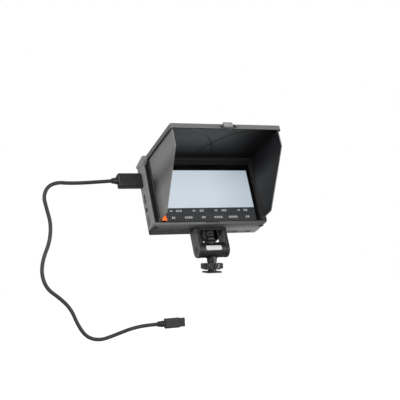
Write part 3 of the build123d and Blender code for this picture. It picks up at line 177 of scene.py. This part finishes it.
cable_route = [
    (-0.1145, 0.0361, 0.1118), (-0.1310, 0.0346, 0.1108), (-0.1500, 0.0332, 0.1096),
    (-0.1690, 0.0322, 0.1092), (-0.1833, 0.0310, 0.1102), (-0.1950, 0.0298, 0.1056),
    (-0.2006, 0.0284, 0.0942), (-0.1977, 0.0271, 0.0812), (-0.1929, 0.0250, 0.0620),
    (-0.1956, 0.0222, 0.0411), (-0.2046, 0.0192, 0.0225), (-0.2074, 0.0165, 0.0047),
    (-0.2017, 0.0140, -0.0119), (-0.1871, 0.0109, -0.0228), (-0.1748, 0.0086, -0.0359),
    (-0.1683, 0.0064, -0.0531), (-0.1585, 0.0043, -0.0683), (-0.1426, 0.0023, -0.0728),
    (-0.1252, 0.0003, -0.0674), (-0.1069, -0.0016, -0.0612), (-0.0900, -0.0033, -0.0580),
    (-0.0740, -0.0051, -0.0574),
]
cable_diameter = 0.0044
cable_curve = bpy.data.curves.new("video_cable", "CURVE")
cable_curve.dimensions = "3D"
cable_curve.bevel_depth = cable_diameter / 2
cable_curve.bevel_resolution = 6
cable_curve.resolution_u = 12
cable_line = cable_curve.splines.new("NURBS")
cable_line.points.add(len(cable_route) - 1)
for point, place in zip(cable_line.points, cable_route):
    point.co = (*place, 1)
cable_line.order_u = 3
cable_line.use_endpoint_u = True
cable = link("video_cable", cable_curve)
cable_curve.materials.append(rubber("cable_jacket", (0.010, 0.010, 0.0105), 2500))
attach(cable, "monitor")
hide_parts("hdmi_cable")

# ---------------------------------------------------------------- plugs of the cable
# Matte moulded grips over the metal shells, with a ribbed bend relief at the cable's end of each.
# The ribs are rings round the tapered boot, and the shells are stamped from plated steel.
plug_skin = rubber("plug_moulding", (0.006, 0.006, 0.0065), 1800, 0.42)
edge_angle = radians(32)


def soften(piece, width, segments=2):
    """Rounds the sharp edges of a piece and shades it smoothly."""
    weld = piece.modifiers.new("weld", "WELD")
    weld.merge_threshold = 0.000004
    plain = piece.modifiers.new("flatten", "DECIMATE")
    plain.decimate_type = "DISSOLVE"
    plain.angle_limit = radians(0.6)
    edge = piece.modifiers.new("edge", "BEVEL")
    edge.width = width
    edge.segments = segments
    edge.limit_method = "ANGLE"
    edge.angle_limit = edge_angle
    edge.harden_normals = False
    for face in piece.data.polygons:
        face.use_smooth = True
    shade = piece.modifiers.new("shade", "WEIGHTED_NORMAL")
    shade.keep_sharp = True
    return piece


def ring(made, centre, axis, radius, thickness, around=40, across=8):
    """Adds a round ring to a mesh under way."""
    turn = axis.to_track_quat("Z", "Y").to_matrix()
    rows = []
    for step in range(around):
        angle = 2 * pi * step / around
        spoke = turn @ Vector((cos(angle), sin(angle), 0))
        rows.append([made.verts.new(centre + spoke * (radius + thickness * cos(2 * pi * k / across))
                                    + axis * thickness * sin(2 * pi * k / across)) for k in range(across)])
    for step in range(around):
        for k in range(across):
            here, there = rows[step], rows[(step + 1) % around]
            made.faces.new((here[k], there[k], there[(k + 1) % across], here[(k + 1) % across]))


def make(name, made, body, *materials):
    """Turns a mesh under way into a piece that rides on a body."""
    bmesh.ops.recalc_face_normals(made, faces=made.faces)
    mesh = bpy.data.meshes.new(name)
    made.to_mesh(mesh)
    made.free()
    piece = dress(link(name, mesh), *materials)
    for face in mesh.polygons:
        face.use_smooth = True
    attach(piece, body)
    return piece


first, second = Vector(cable_route[0]), Vector(cable_route[1])
last, before_last = Vector(cable_route[-1]), Vector(cable_route[-2])
out_of_monitor = (second - first).normalized()
into_camera = (last - before_last).normalized()
boot_length = 0.0075
boot_tip_radius = 0.0029
boot_flare = 0.0009
rib_count = 4
first_rib = 0.0012
rib_pitch = 0.0017
rib_thickness = 0.00042
for name, tip, axis in (("plug_boot_rings", first, -out_of_monitor),
                        ("camera_plug_boot_rings", last, into_camera)):
    rings = bmesh.new()
    for number in range(rib_count):
        reach = first_rib + number * rib_pitch
        radius = boot_tip_radius + boot_flare * reach / boot_length
        ring(rings, tip + axis * reach, axis, radius, rib_thickness)
    make(name, rings, "monitor", plug_skin)
for name in ("hdmi_plug", "camera_plug"):
    soften(dress(nodes[name], plug_skin), 0.0005, 3)

# ---------------------------------------------------------------- floor and studio light
# White floor and white surround. The main soft lamp stands high on the left, a weaker one in front.
floor_z = -0.095
floor_half = 60.0
floor_mesh = bpy.data.meshes.new("floor")
floor_mesh.from_pydata(
    [(x, y, floor_z) for x, y in ((-floor_half, -floor_half), (floor_half, -floor_half),
                                  (floor_half, floor_half), (-floor_half, floor_half))],
    [], [(0, 1, 2, 3)])
floor = link("floor", floor_mesh)
floor_finish, place = finish("floor_paper")
seen = place.node("LightPath", out=0)
paper = place.node("BsdfDiffuse", Color=(0.3, 0.3, 0.3, 1))
lift = place.node("Emission", Color=(1, 1, 1, 1), Strength=0.78)
near = place.node("AddShader", i0=paper, i1=lift)
pure = place.node("Emission", Color=(1, 1, 1, 1), Strength=1.0)
distance = place.node("VectorMath", {"operation": "LENGTH"}, out=1, i0=place)
shown = place.node("MixShader", i0=((distance - 0.45) * 2.0).limit(), i1=near, i2=pure)
plain = place.node("BsdfDiffuse", Color=(0.45, 0.45, 0.45, 1))
place.surface(place.node("MixShader", i0=seen, i1=plain, i2=shown))
dress(floor, floor_finish)

world = bpy.data.worlds.new("studio")
bpy.context.scene.world = world
world.use_nodes = True
sky = world.node_tree
sky.nodes.clear()
rays = sky.nodes.new("ShaderNodeLightPath")
direct = Tone(sky, rays.outputs["Is Camera Ray"])
clear = Tone(sky, rays.outputs["Is Transmission Ray"])
white = (direct + clear) > 0.5
air = white.node("Background", Color=(1, 1, 1, 1), Strength=0.42)
backdrop = white.node("Background", Color=(1, 1, 1, 1), Strength=1.0)
mixed = white.node("MixShader", i0=white, i1=air, i2=backdrop)
sky.links.new(mixed.socket, sky.nodes.new("ShaderNodeOutputWorld").inputs["Surface"])


def lamp(name, place, aim, size, power):
    data = bpy.data.lights.new(name, "AREA")
    data.shape = "DISK"
    data.size = size
    data.energy = power
    light = link(name, data)
    light.location = place
    light.rotation_euler = (Vector(aim) - Vector(place)).to_track_quat("-Z", "Y").to_euler()


lamp("main_lamp", (-1.9, -1.4, 1.1), (0, 0, 0.1), 1.2, 64)
lamp("front_lamp", (0.5, -2.2, 0.7), (0, 0, 0.1), 1.4, 24)
lamp("low_lamp", (1.3, -0.9, -0.03), (0, 0, 0.05), 0.6, 20)
lamp("back_lamp", (1.4, 1.6, 1.8), (0, 0, 0.1), 1.2, 22)

# ---------------------------------------------------------------- shoe foot, wheel and washer
# Turned aluminium foot with its threaded post, in satin black; the lock wheel is polished black.
# The washer between them is blackened steel and spreads the wheel's pressure on the shoe.
def anodised(name, colour, rough, metal=0.4, flank_light=1.0):
    """Black anodised metal, painted paler on its side flanks by a number of times, as light falling on them.
    """
    material, place = finish(name)
    haze = place.noise(220, 4)
    # painted light: faces turned to either side are painted paler, standing in for lamplight on the flanks
    lit_flank = abs(place.node("TexCoord", out=1).along((1, 0, 0))).edge(0.8, 0.1)
    tone = lit_flank.blend(colour, [c * flank_light for c in colour])
    place.coat(
        Base_Color=tone,
        Metallic=metal,
        Roughness=haze * 0.12 + rough,
        Normal=place.noise(6000, 1).bump(0.12, 0.00003),
    )
    return material


def bright_metal(name, colour, rough):
    material, place = finish(name)
    grain = place.noise(900, 2)
    place.coat(Base_Color=grain.blend([c * 0.85 for c in colour], colour), Metallic=1.0,
               Roughness=grain * 0.15 + rough)
    return material


satin_black = anodised("satin_black_metal", (0.013, 0.013, 0.0135), 0.3)
gloss_black = anodised("gloss_black_metal", (0.05, 0.05, 0.05), 0.14, 0.8)
steel = bright_metal("turned_steel", (0.55, 0.55, 0.56), 0.28)
dark_steel = bright_metal("blackened_steel", (0.07, 0.07, 0.072), 0.32)
soften(dress(nodes["shoe_foot"], satin_black), 0.00025)
soften(dress(nodes["lock_wheel"], gloss_black), 0.0003)
soften(dress(nodes["clamp_washer"], dark_steel), 0.0001)
dress(nodes["swivel_screw"], dark_steel)

# ---------------------------------------------------------------- cross barrel and its plate
# Cast barrel on a flared neck, turned smooth and anodised satin black.
# A thin enamelled plate, left bare, is stuck to the front of the barrel.
soften(dress(nodes["swivel_barrel"], satin_black), 0.0002)
pivot = Vector((0, 0, 0.0275))
barrel_radius = 0.0093
plate_width = 0.0205
plate_height = 0.0057
plate_corner = 0.0016
plate_thickness = 0.00018
plate_shift = 0.0009
plate_middle = radians(20)
enamel, place = finish("white_enamel")
stain = place.noise(300, 3)
place.coat(Base_Color=stain.blend((0.36, 0.36, 0.355), (0.44, 0.44, 0.43)), Roughness=stain * 0.1 + 0.25)
plate = bmesh.new()
plate_rows = []
steps = 24
for step in range(steps + 1):
    rise = (0.5 - 0.5 * cos(pi * step / steps)) * plate_height
    into_corner = max(0.0, plate_corner - min(rise, plate_height - rise))
    half = plate_width / 2 - plate_corner + (plate_corner ** 2 - into_corner ** 2) ** 0.5
    angle = plate_middle + (rise - plate_height / 2) / barrel_radius
    row = []
    for radius in (barrel_radius, barrel_radius + plate_thickness):
        for x in (-half, half):
            around = Vector((x - plate_shift, -radius * cos(angle), radius * sin(angle)))
            row.append(plate.verts.new(pivot + around))
    plate_rows.append(row)
for low, high in zip(plate_rows, plate_rows[1:]):
    for a, b in ((0, 1), (1, 3), (3, 2), (2, 0)):
        plate.faces.new((low[a], low[b], high[b], high[a]))
for row in (plate_rows[0], plate_rows[-1]):
    plate.faces.new((row[0], row[1], row[3], row[2]))
bare_plate = make("barrel_plate", plate, "swivel", enamel)
soften(bare_plate, 0.00006)

# ---------------------------------------------------------------- yoke, axle and camera screw
# Milled aluminium yoke in the barrel's black, on a steel axle with socket-head caps.
# Friction discs and the pad under the monitor are rubber; the camera screw has a fluted knob.
# painted light: the yoke's flanks are painted seven times paler, as lamplight on its outer faces
yoke_black = anodised("yoke_black_metal", (0.013, 0.013, 0.0135), 0.3, flank_light=7.0)
soften(dress(nodes["yoke"], yoke_black), 0.0003)
soften(dress(nodes["mount_screw"], satin_black), 0.00012)
soften(dress(nodes["axle_caps"], anodised("cap_black_metal", (0.06, 0.06, 0.06), 0.3)), 0.00015)
dress(nodes["tilt_axle"], steel)
for name in ("friction_discs", "yoke_pad"):
    dress(nodes[name], rubber(name + "_rubber", (0.016, 0.016, 0.016), 1200))
dress(nodes["thread_insert"], bright_metal("brass", (0.7, 0.52, 0.22), 0.3))

# the gussets run the yoke's full depth, and the knob reaches almost to the barrel
lean = radians(24.6)
across = Vector((1, 0, 0))
upward = Vector((0, sin(lean), cos(lean)))
inward = Vector((0, cos(lean), -sin(lean)))
corner = pivot + upward * 0.0275 - inward * 0.0159


def spot(x, depth, height):
    """A place on the leaning monitor: across, behind its front face and up that face."""
    return corner + across * x + inward * depth + upward * height


def plank(made, left, right, front, back, low, high, finish_index=0):
    """Adds a straight-sided block that leans with the monitor."""
    at = [made.verts.new(spot(x, depth, up))
          for x in (left, right) for depth in (front, back) for up in (low, high)]
    for corners in ((0, 1, 3, 2), (4, 6, 7, 5), (0, 4, 5, 1), (2, 3, 7, 6), (0, 2, 6, 4), (1, 5, 7, 3)):
        made.faces.new([at[k] for k in corners]).material_index = finish_index


def stack(made, rows):
    """Joins rings of corners one above another, and closes both ends."""
    for low, high in zip(rows, rows[1:]):
        for n in range(len(low)):
            after = (n + 1) % len(low)
            made.faces.new((low[n], low[after], high[after], high[n]))
    made.faces.new(rows[0])
    made.faces.new(rows[-1])


gusset_x = 0.0084
gusset_half = 0.0008
gusset_front, gusset_back = 0.0074, 0.0244
gusset_foot, gusset_top = -0.0160, -0.0046
gussets = bmesh.new()
for x in (-gusset_x, gusset_x):
    plank(gussets, x - gusset_half, x + gusset_half, gusset_front, gusset_back, gusset_foot, gusset_top)
yoke_gussets = make("yoke_gussets", gussets, "monitor", yoke_black)
soften(yoke_gussets, 0.0003)
knob = bmesh.new()
knob_radius = 0.0068
knob_depth = 0.0159
flute_depth = 0.0005
flutes = 18
knob_steps = 144
knob_top, knob_foot, knob_end = -0.0115, -0.0164, -0.0169
knob_rows = []
for up, shrink in ((knob_top, 0.0), (knob_foot, 0.0), (knob_end, 0.0006), (knob_end, 0.0028)):
    row = []
    for step in range(knob_steps):
        angle = 2 * pi * step / knob_steps
        radius = knob_radius - shrink - flute_depth * max(0.0, cos(flutes * angle))
        row.append(knob.verts.new(spot(radius * cos(angle), knob_depth + radius * sin(angle), up)))
    knob_rows.append(row)
stack(knob, knob_rows)
make("screw_knob", knob, "monitor", satin_black)

# ---------------------------------------------------------------- monitor housing
# Front frame and back cover moulded in black glass-filled plastic with a fine spark-eroded texture.
# Four screws at the back hold the two together.
def moulded(name, colour, rough, grain=2600, relief=0.00005):
    material, place = finish(name)
    patch = place.noise(35, 3)
    speck = place.noise(grain, 2)
    tone = patch * 0.35 + speck * 0.65
    place.coat(
        Base_Color=tone.blend([c * 0.82 for c in colour], [c * 1.18 for c in colour]),
        Roughness=patch * 0.1 + rough,
        Specular_IOR_Level=0.5,
        Normal=speck.bump(0.35, relief),
    )
    return material


# painted light and shade: the frame's face inside the hood is painted near black as the hood's shade, and the
# walls are painted paler as light falling on them
housing, place = finish("housing_plastic")
facing = place.node("TexCoord", out=1)
patch = place.noise(35, 3)
speck = place.noise(2600, 2)
speckle = patch * 0.35 + speck * 0.65
shade_half = 0.0742
shade_foot = 0.0031
height = place.along(upward) - corner.dot(upward)
# painted shade: near black on the face that looks out, inside the lid's rims and above the sill
hood_shade = facing.along(-inward).edge(0.7, 0.1) * (shade_half - abs(place.along(across))).edge(0, 0.0002)
hood_shade = hood_shade * height.edge(shade_foot, 0.0002)
# painted light: faces turned to either side are painted paler, as light falling on them
walls = abs(facing.along(across)).edge(0.6, 0.2)
under = facing.along(-upward).edge(0.6, 0.2)
lit_wall_tone = speckle.blend((0.155, 0.155, 0.152), (0.21, 0.21, 0.206))
# painted light and shade: the front face is painted paler on the left, where the main lamp reaches, and
# darker to the right
face_tone = place.along(across).edge(-0.04, 0.1).blend(
    speckle.blend((0.095, 0.095, 0.095), (0.13, 0.13, 0.13)),
    speckle.blend((0.036, 0.036, 0.036), (0.055, 0.055, 0.055)))
# painted light and shadow: the underside is painted dark on its left as shadow and pale on its right as light
# from low on the right
underside_lit_right = place.along(across).edge(0.004, 0.03)
under_tone = underside_lit_right.blend(speckle.blend((0.012, 0.012, 0.0125), (0.022, 0.022, 0.022)),
                          speckle.blend((0.26, 0.26, 0.257), (0.38, 0.38, 0.373)))
# painted light: a strip along the underside's front edge is painted mid grey, lit like the front face
set_back = (place.along(inward) - corner.dot(inward)).edge(0.005, 0.012)
under_tone = set_back.blend(speckle.blend((0.07, 0.07, 0.07), (0.11, 0.11, 0.11)), under_tone)
tone = under.blend(walls.blend(face_tone, lit_wall_tone), under_tone)
# the hood's painted shade is laid over every tone above
place.coat(Base_Color=hood_shade.blend(tone, (0.004, 0.004, 0.0045)), Roughness=patch * 0.1 + hood_shade * 0.2 + 0.42,
           Specular_IOR_Level=0.3, Normal=speck.bump(0.35, 0.00005))
for name, width in (("front_frame", 0.0007), ("rear_cover", 0.0010), ("battery_plate", 0.0003)):
    soften(dress(nodes[name], housing), width)
soften(dress(nodes["cover_screws"], dark_steel), 0.0001)

# dark oval rubber covers over the case screws at the corners of the underside
cover_x = 0.0705
cover_depth = 0.0090
cover_half_width = 0.0034
cover_half_depth = 0.0025
cover_steps = 36
covers = bmesh.new()
for x in (-cover_x, cover_x):
    rings = []
    for shrink, drop in ((0.0, 0.0001), (0.0, -0.0002), (0.0004, -0.0004), (0.0016, -0.0005)):
        row = []
        for step in range(cover_steps):
            angle = 2 * pi * step / cover_steps
            row.append(covers.verts.new(spot(x + (cover_half_width - shrink) * cos(angle),
                                             cover_depth + (cover_half_depth - shrink) * sin(angle), drop)))
        rings.append(row)
    stack(covers, rings)
make("corner_covers", covers, "monitor", rubber("cover_rubber", (0.004, 0.004, 0.004), 1800, 0.6))

# ---------------------------------------------------------------- keys and catch
# Moulded keys in a smoother plastic, in their holes along the top, and the battery's sprung catch.
key_plastic = moulded("key_plastic", (0.045, 0.045, 0.046), 0.36, 4000)
for name in ("menu_key", "left_key", "right_key", "input_key", "power_key", "battery_catch"):
    soften(dress(nodes[name], key_plastic), 0.0002)
dress(nodes["battery_contacts"], rubber("contact_block", (0.03, 0.03, 0.032), 2000))

# ---------------------------------------------------------------- sockets and boards
# Stamped and plated socket shells let into the left wall and the underside, on green boards.
soften(dress(nodes["hdmi_input_socket"], steel), 0.0001)
soften(dress(nodes["power_socket"], bright_metal("copper_plating", (0.66, 0.60, 0.57), 0.4)), 0.0001)
for name in ("mini_output_socket", "headphone_socket"):
    soften(dress(nodes[name], rubber(name + "_moulding", (0.004, 0.004, 0.004), 2000)), 0.0001)
for name in ("main_board", "key_board"):
    dress(nodes[name], moulded("board_" + name, (0.02, 0.09, 0.04), 0.4))

# ---------------------------------------------------------------- cover glass
# Float glass printed black round the edge on its inner face.
# The clear window in the print is as large as the lit area behind it.
glass_width = 0.132
glass_height = 0.077
glass_sill = 0.003
glass_thickness = 0.0011
glass_corner = 0.0015
window_width = 0.1218
window_height = 0.0685
window_x = 0.0008
window_sill = 0.0038
clear_glass, place = finish("clear_glass")
place.coat(Base_Color=(1, 1, 1, 1), Transmission_Weight=1.0, IOR=1.14,
           Roughness=place.noise(400, 2) * 0.04)
black_print, place = finish("black_print")
place.coat(Base_Color=(0.002, 0.002, 0.0025, 1), Roughness=place.noise(400, 2) * 0.05 + 0.5,
           Specular_IOR_Level=0.05)


def rounded(x, height, width, tall, radius, steps=6):
    """Corner points of a rounded rectangle about a middle: across and up."""
    points = []
    for quarter, (side, end) in enumerate(((1, 1), (-1, 1), (-1, -1), (1, -1))):
        for step in range(steps + 1):
            angle = radians(90 * quarter + 90 * step / steps)
            points.append((x + side * (width / 2 - radius) + radius * cos(angle),
                           height + end * (tall / 2 - radius) + radius * sin(angle)))
    return points


glass_outline = rounded(0, glass_sill + glass_height / 2, glass_width, glass_height, glass_corner)
window_outline = rounded(window_x, window_sill + window_height / 2, window_width, window_height, 0.0003)
glass = bmesh.new()
front_ring = [glass.verts.new(spot(x, 0.0, up)) for x, up in glass_outline]
back_ring = [glass.verts.new(spot(x, glass_thickness, up)) for x, up in glass_outline]
window_ring = [glass.verts.new(spot(x, glass_thickness, up)) for x, up in window_outline]
glass.faces.new(front_ring)
glass.faces.new(window_ring)
for n, (a, b) in enumerate(zip(front_ring, front_ring[1:] + front_ring[:1])):
    after = (n + 1) % len(back_ring)
    glass.faces.new((a, b, back_ring[after], back_ring[n]))
    printed = glass.faces.new((back_ring[n], back_ring[after], window_ring[after], window_ring[n]))
    printed.material_index = 1


def flat(piece):
    """Leaves the faces of a piece unsmoothed."""
    for face in piece.data.polygons:
        face.use_smooth = False
    return piece


cover_glass = flat(make("cover_glass", glass, "monitor", clear_glass, black_print))
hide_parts("screen_glass")

# ---------------------------------------------------------------- lit panel
# Liquid crystal panel in its pressed frame: a pale picture over a dark function bar.
# The marks on the bar are plain blocks where a menu's words would stand.
panel_width = 0.126
panel_height = 0.0726
panel_sill = 0.0049
panel_front = 0.0013
panel_back = 0.0047
bar_top = 0.0219
picture, place = finish("lit_picture")
pale = (place.along(upward) - corner.dot(upward)).edge(0.046, 0.026)
sideways = place.along(across).edge(0.008, 0.056)
left_light = pale.blend((0.60, 0.67, 0.74), (0.54, 0.62, 0.69))
right_light = pale.blend((0.46, 0.54, 0.60), (0.36, 0.44, 0.50))
place.coat(Base_Color=(0.01, 0.01, 0.01, 1), Roughness=0.6, Specular_IOR_Level=0.05,
           Emission_Color=sideways.blend(left_light, right_light), Emission_Strength=1.0)
bar, place = finish("function_bar")
place.coat(Base_Color=(0.01, 0.01, 0.01, 1), Roughness=0.6, Specular_IOR_Level=0.05,
           Emission_Color=place.noise(90, 1).blend((0.022, 0.024, 0.026), (0.030, 0.033, 0.036)),
           Emission_Strength=1.0)
marks_finish, place = finish("bar_marks")
place.coat(Base_Color=(0.01, 0.01, 0.01, 1), Roughness=0.4,
           Emission_Color=place.noise(2500, 1).blend((0.35, 0.36, 0.37), (0.8, 0.82, 0.84)),
           Emission_Strength=1.0)
panel = bmesh.new()
plank(panel, -panel_width / 2, panel_width / 2, panel_front, panel_back,
      panel_sill, panel_sill + panel_height, 2)
sheet_margin = 0.0004
sheet_left = window_x - window_width / 2 - sheet_margin
sheet_right = window_x + window_width / 2 + sheet_margin
sheet_foot, sheet_top = 0.0052, 0.0729
sheet_front, sheet_back = panel_front - 0.00005, panel_front + 0.0001
plank(panel, sheet_left, sheet_right, sheet_front, sheet_back, bar_top, sheet_top, 0)
plank(panel, sheet_left, sheet_right, sheet_front, sheet_back, sheet_foot, bar_top, 1)
lit_panel = flat(make("lit_panel", panel, "monitor", picture, bar, dark_steel))
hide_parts("lcd_panel")

# the marks' left and right ends are in millimetres; each span is filled with blocks of about one size
upper_row, lower_row = 0.0182, 0.0095
block_width = 2.6
mark_front, mark_back = panel_front - 0.00012, panel_front - 0.00004
upper_marks = ((-52.2, -48.3), (-44.5, -36.0), (-22.2, -18.2), (-12.9, -6.9),
               (7.1, 11.2), (16.6, 23.4), (38.4, 41.8), (46.7, 52.2))
lower_marks = ((-50.9, -46.4), (-34.0, -23.5), (-11.6, -6.3), (5.0, 16.5), (24.6, 36.9), (47.9, 53.4))
marks = bmesh.new()
for row, (height, spans) in enumerate(((upper_row, upper_marks), (lower_row, lower_marks))):
    for number, (left, right) in enumerate(spans):
        blocks = max(2, round((right - left) / block_width))
        pitch = (right - left) / blocks
        tall = 0.0018 if row == 0 and number % 2 == 0 else 0.0023
        for block in range(blocks):
            start = left + block * pitch
            low = height - tall / 2
            plank(marks, start / 1000, (start + pitch * 0.72) / 1000, mark_front, mark_back,
                  low, low + tall * 0.32)
            plank(marks, (start + pitch * 0.12) / 1000, (start + pitch * 0.6) / 1000, mark_front, mark_back,
                  low + tall * 0.5, low + tall)
bar_marks = flat(make("bar_marks", marks, "monitor", marks_finish))

# orange triangle on the glass, at its lower left corner; its emission is a painted glow, as no lamp is in it
orange, place = finish("orange_film")
place.coat(Base_Color=place.noise(500, 2).blend((0.80, 0.14, 0.012), (0.88, 0.18, 0.02)), Roughness=0.35,
           Emission_Color=(0.5, 0.08, 0.006, 1), Emission_Strength=0.6)
film = bmesh.new()
film_thickness = 0.00008
corners = ((-0.0656, 0.0056), (-0.0578, 0.0054), (-0.0596, 0.0140))
lower = [film.verts.new(spot(x, 0.00001, up)) for x, up in corners]
upper = [film.verts.new(spot(x, -film_thickness, up)) for x, up in corners]
film.faces.new(lower)
film.faces.new(upper)
for n in range(3):
    film.faces.new((lower[n], lower[(n + 1) % 3], upper[(n + 1) % 3], upper[n]))
flat(make("corner_film", film, "monitor", orange))

# ---------------------------------------------------------------- sun hood
# Thin moulded flaps in the housing's plastic: a tray-like lid and two side wings that fold under it.
# Cheeks on the body's corners carry the lid's steel pins, and a sprung latch sits on its free edge.
def flap_skin(name, inside, hinge=None, track=None):
    """The flaps' plastic, with a blacker face on the side that looks at the screen: partly its own colour,
    partly painted shade of the hood.
    """
    material, place = finish(name)
    facing = place.node("TexCoord", out=1)
    inner = facing.along(inside).edge(0.6, 0.2)
    speck = place.noise(2600, 2)
    patch = place.noise(30, 3)
    # painted light: the wings' outer faces are painted paler than the lid's, as lamplight on them
    outer_light = 1.4 if hinge else 0.95
    outer_tone = (speck * 0.6 + patch * 0.4).blend([outer_light * c for c in (0.085, 0.085, 0.084)],
                                                   [outer_light * c for c in (0.135, 0.135, 0.133)])
    inner_tone = speck.blend((0.005, 0.005, 0.006), (0.011, 0.011, 0.013))
    if track:
        # painted highlight: the floor of the left track is painted as a pale line towards the lid's free
        # edge, where light catches the groove; the rest of the lid's inner face is painted near black
        floor_of_track = (0.00045 - abs(place.distance(track) - track_radius)).edge(0, 0.0001)
        track_lit_reach = (place.along(-inward) + corner.dot(inward)).edge(0.046, 0.03)
        inner_tone = (floor_of_track * track_lit_reach).blend((0.004, 0.004, 0.004), (0.32, 0.32, 0.32))
    tone = inner.blend(outer_tone, inner_tone)
    if hinge:
        # painted shade: towards its hinge the flap is painted darker as the hood's shade, in a band across
        # its middle and low down, and its hinge edge is painted near black as the shade in the gap by the
        # frame
        depth = place.along(-inward) + corner.dot(inward)
        height = place.along(upward) - corner.dot(upward)
        barrel = depth.edge(hinge + 0.004, -0.0012)
        band = (0.017 - abs(height - 0.049)).edge(0, 0.016)
        low = height.edge(0.066, -0.014)
        hinge_shade = (band * 0.55 + low * depth.edge(hinge + 0.022, -0.018) * 0.6).limit()
        tone = hinge_shade.blend(tone, (0.030, 0.030, 0.030))
        tone = barrel.blend(tone, (0.003, 0.003, 0.003))
    place.coat(Base_Color=tone, Roughness=inner * 0.12 + patch * 0.08 + 0.4,
               Specular_IOR_Level=0.3, Normal=speck.bump(0.3, 0.00004))
    return material


track_radius = 0.0780
left_track = spot(-0.0686, -0.0019, 0.0892)
soften(dress(nodes["hood_lid"], flap_skin("lid_skin", -upward, track=left_track)), 0.0003)
soften(dress(nodes["wing_left"], flap_skin("left_wing_skin", across, hinge=0.0019)), 0.0003)
soften(dress(nodes["wing_right"], flap_skin("right_wing_skin", -across, hinge=0.0036)), 0.0003)

# black lining sheet inside the lid, paler where light from the left reaches it
lining, place = finish("lid_lining_sheet")
speck = place.noise(2600, 2)
shade = place.along(across).edge(0.0, 0.055)
forward = (place.along(-inward) + corner.dot(inward)).edge(0.008, 0.045)
lit_sheet = forward.blend((0.009, 0.009, 0.0095), speck.blend((0.062, 0.062, 0.065), (0.090, 0.090, 0.094)))
place.coat(Base_Color=shade.blend(lit_sheet, (0.008, 0.008, 0.009)), Roughness=speck * 0.1 + 0.5,
           Specular_IOR_Level=0.2, Normal=speck.bump(0.3, 0.00004))
dress(nodes["lid_lining"], lining)

hood_plastic = moulded("hood_plastic", (0.185, 0.185, 0.182), 0.42)
soften(dress(nodes["hinge_cheeks"], hood_plastic), 0.0005)
soften(dress(nodes["hinge_brackets"], moulded("bracket_plastic", (0.008, 0.008, 0.008), 0.5)), 0.0002)
dress(nodes["light_seal"], rubber("seal_rubber", (0.003, 0.003, 0.003), 1500, 0.7))
for name in ("lid_pins", "wing_pins", "latch_pin"):
    dress(nodes[name], dark_steel)

# sprung latch on the lid's free edge: a ribbed press plate over a darker hook, with a spring each side
latch_left, latch_right = -0.0055, 0.0064
latch_front, latch_back = -0.0889, -0.0868
latch_foot, latch_top = 0.0850, 0.0908
grip_count = 3
grip_inset = 0.001
grip_foot = 0.0876
grip_pitch = 0.0010
grip_height = 0.0004
latch = bmesh.new()
plank(latch, latch_left, latch_right, latch_front, latch_back, latch_foot, latch_top)
for number in range(grip_count):
    low = grip_foot + number * grip_pitch
    plank(latch, latch_left + grip_inset, latch_right - grip_inset,
          latch_front - 0.0002, latch_front + 0.0004, low, low + grip_height)
latch_plate = make("latch_plate", latch, "latch", hood_plastic)
soften(latch_plate, 0.00025)
hook_left, hook_right = latch_left + 0.0008, latch_right - 0.0010
hook_foot = 0.0814
hook = bmesh.new()
plank(hook, hook_left, hook_right, -0.0884, -0.0869, hook_foot, 0.0851)
plank(hook, hook_left, hook_right, -0.0884, -0.0862, hook_foot, 0.0822)
plank(hook, latch_left - 0.0026, latch_left + 0.0010, -0.0886, -0.0870, 0.0858, 0.0884)
latch_hook = make("latch_hook", hook, "latch", moulded("hook_plastic", (0.035, 0.035, 0.036), 0.4))
soften(latch_hook, 0.00025)
coil_pitch = 0.00046
coil_radius = 0.0010
wire_radius = 0.0002
springs = bmesh.new()
for start, turns in ((latch_left - 0.0014, 3), (latch_right + 0.0004, 5)):
    for number in range(turns):
        coil = spot(start + number * coil_pitch, -0.0876, 0.0869)
        ring(springs, coil, across, coil_radius, wire_radius, 24, 6)
make("latch_springs", springs, "latch", dark_steel)
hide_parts("lid_latch")
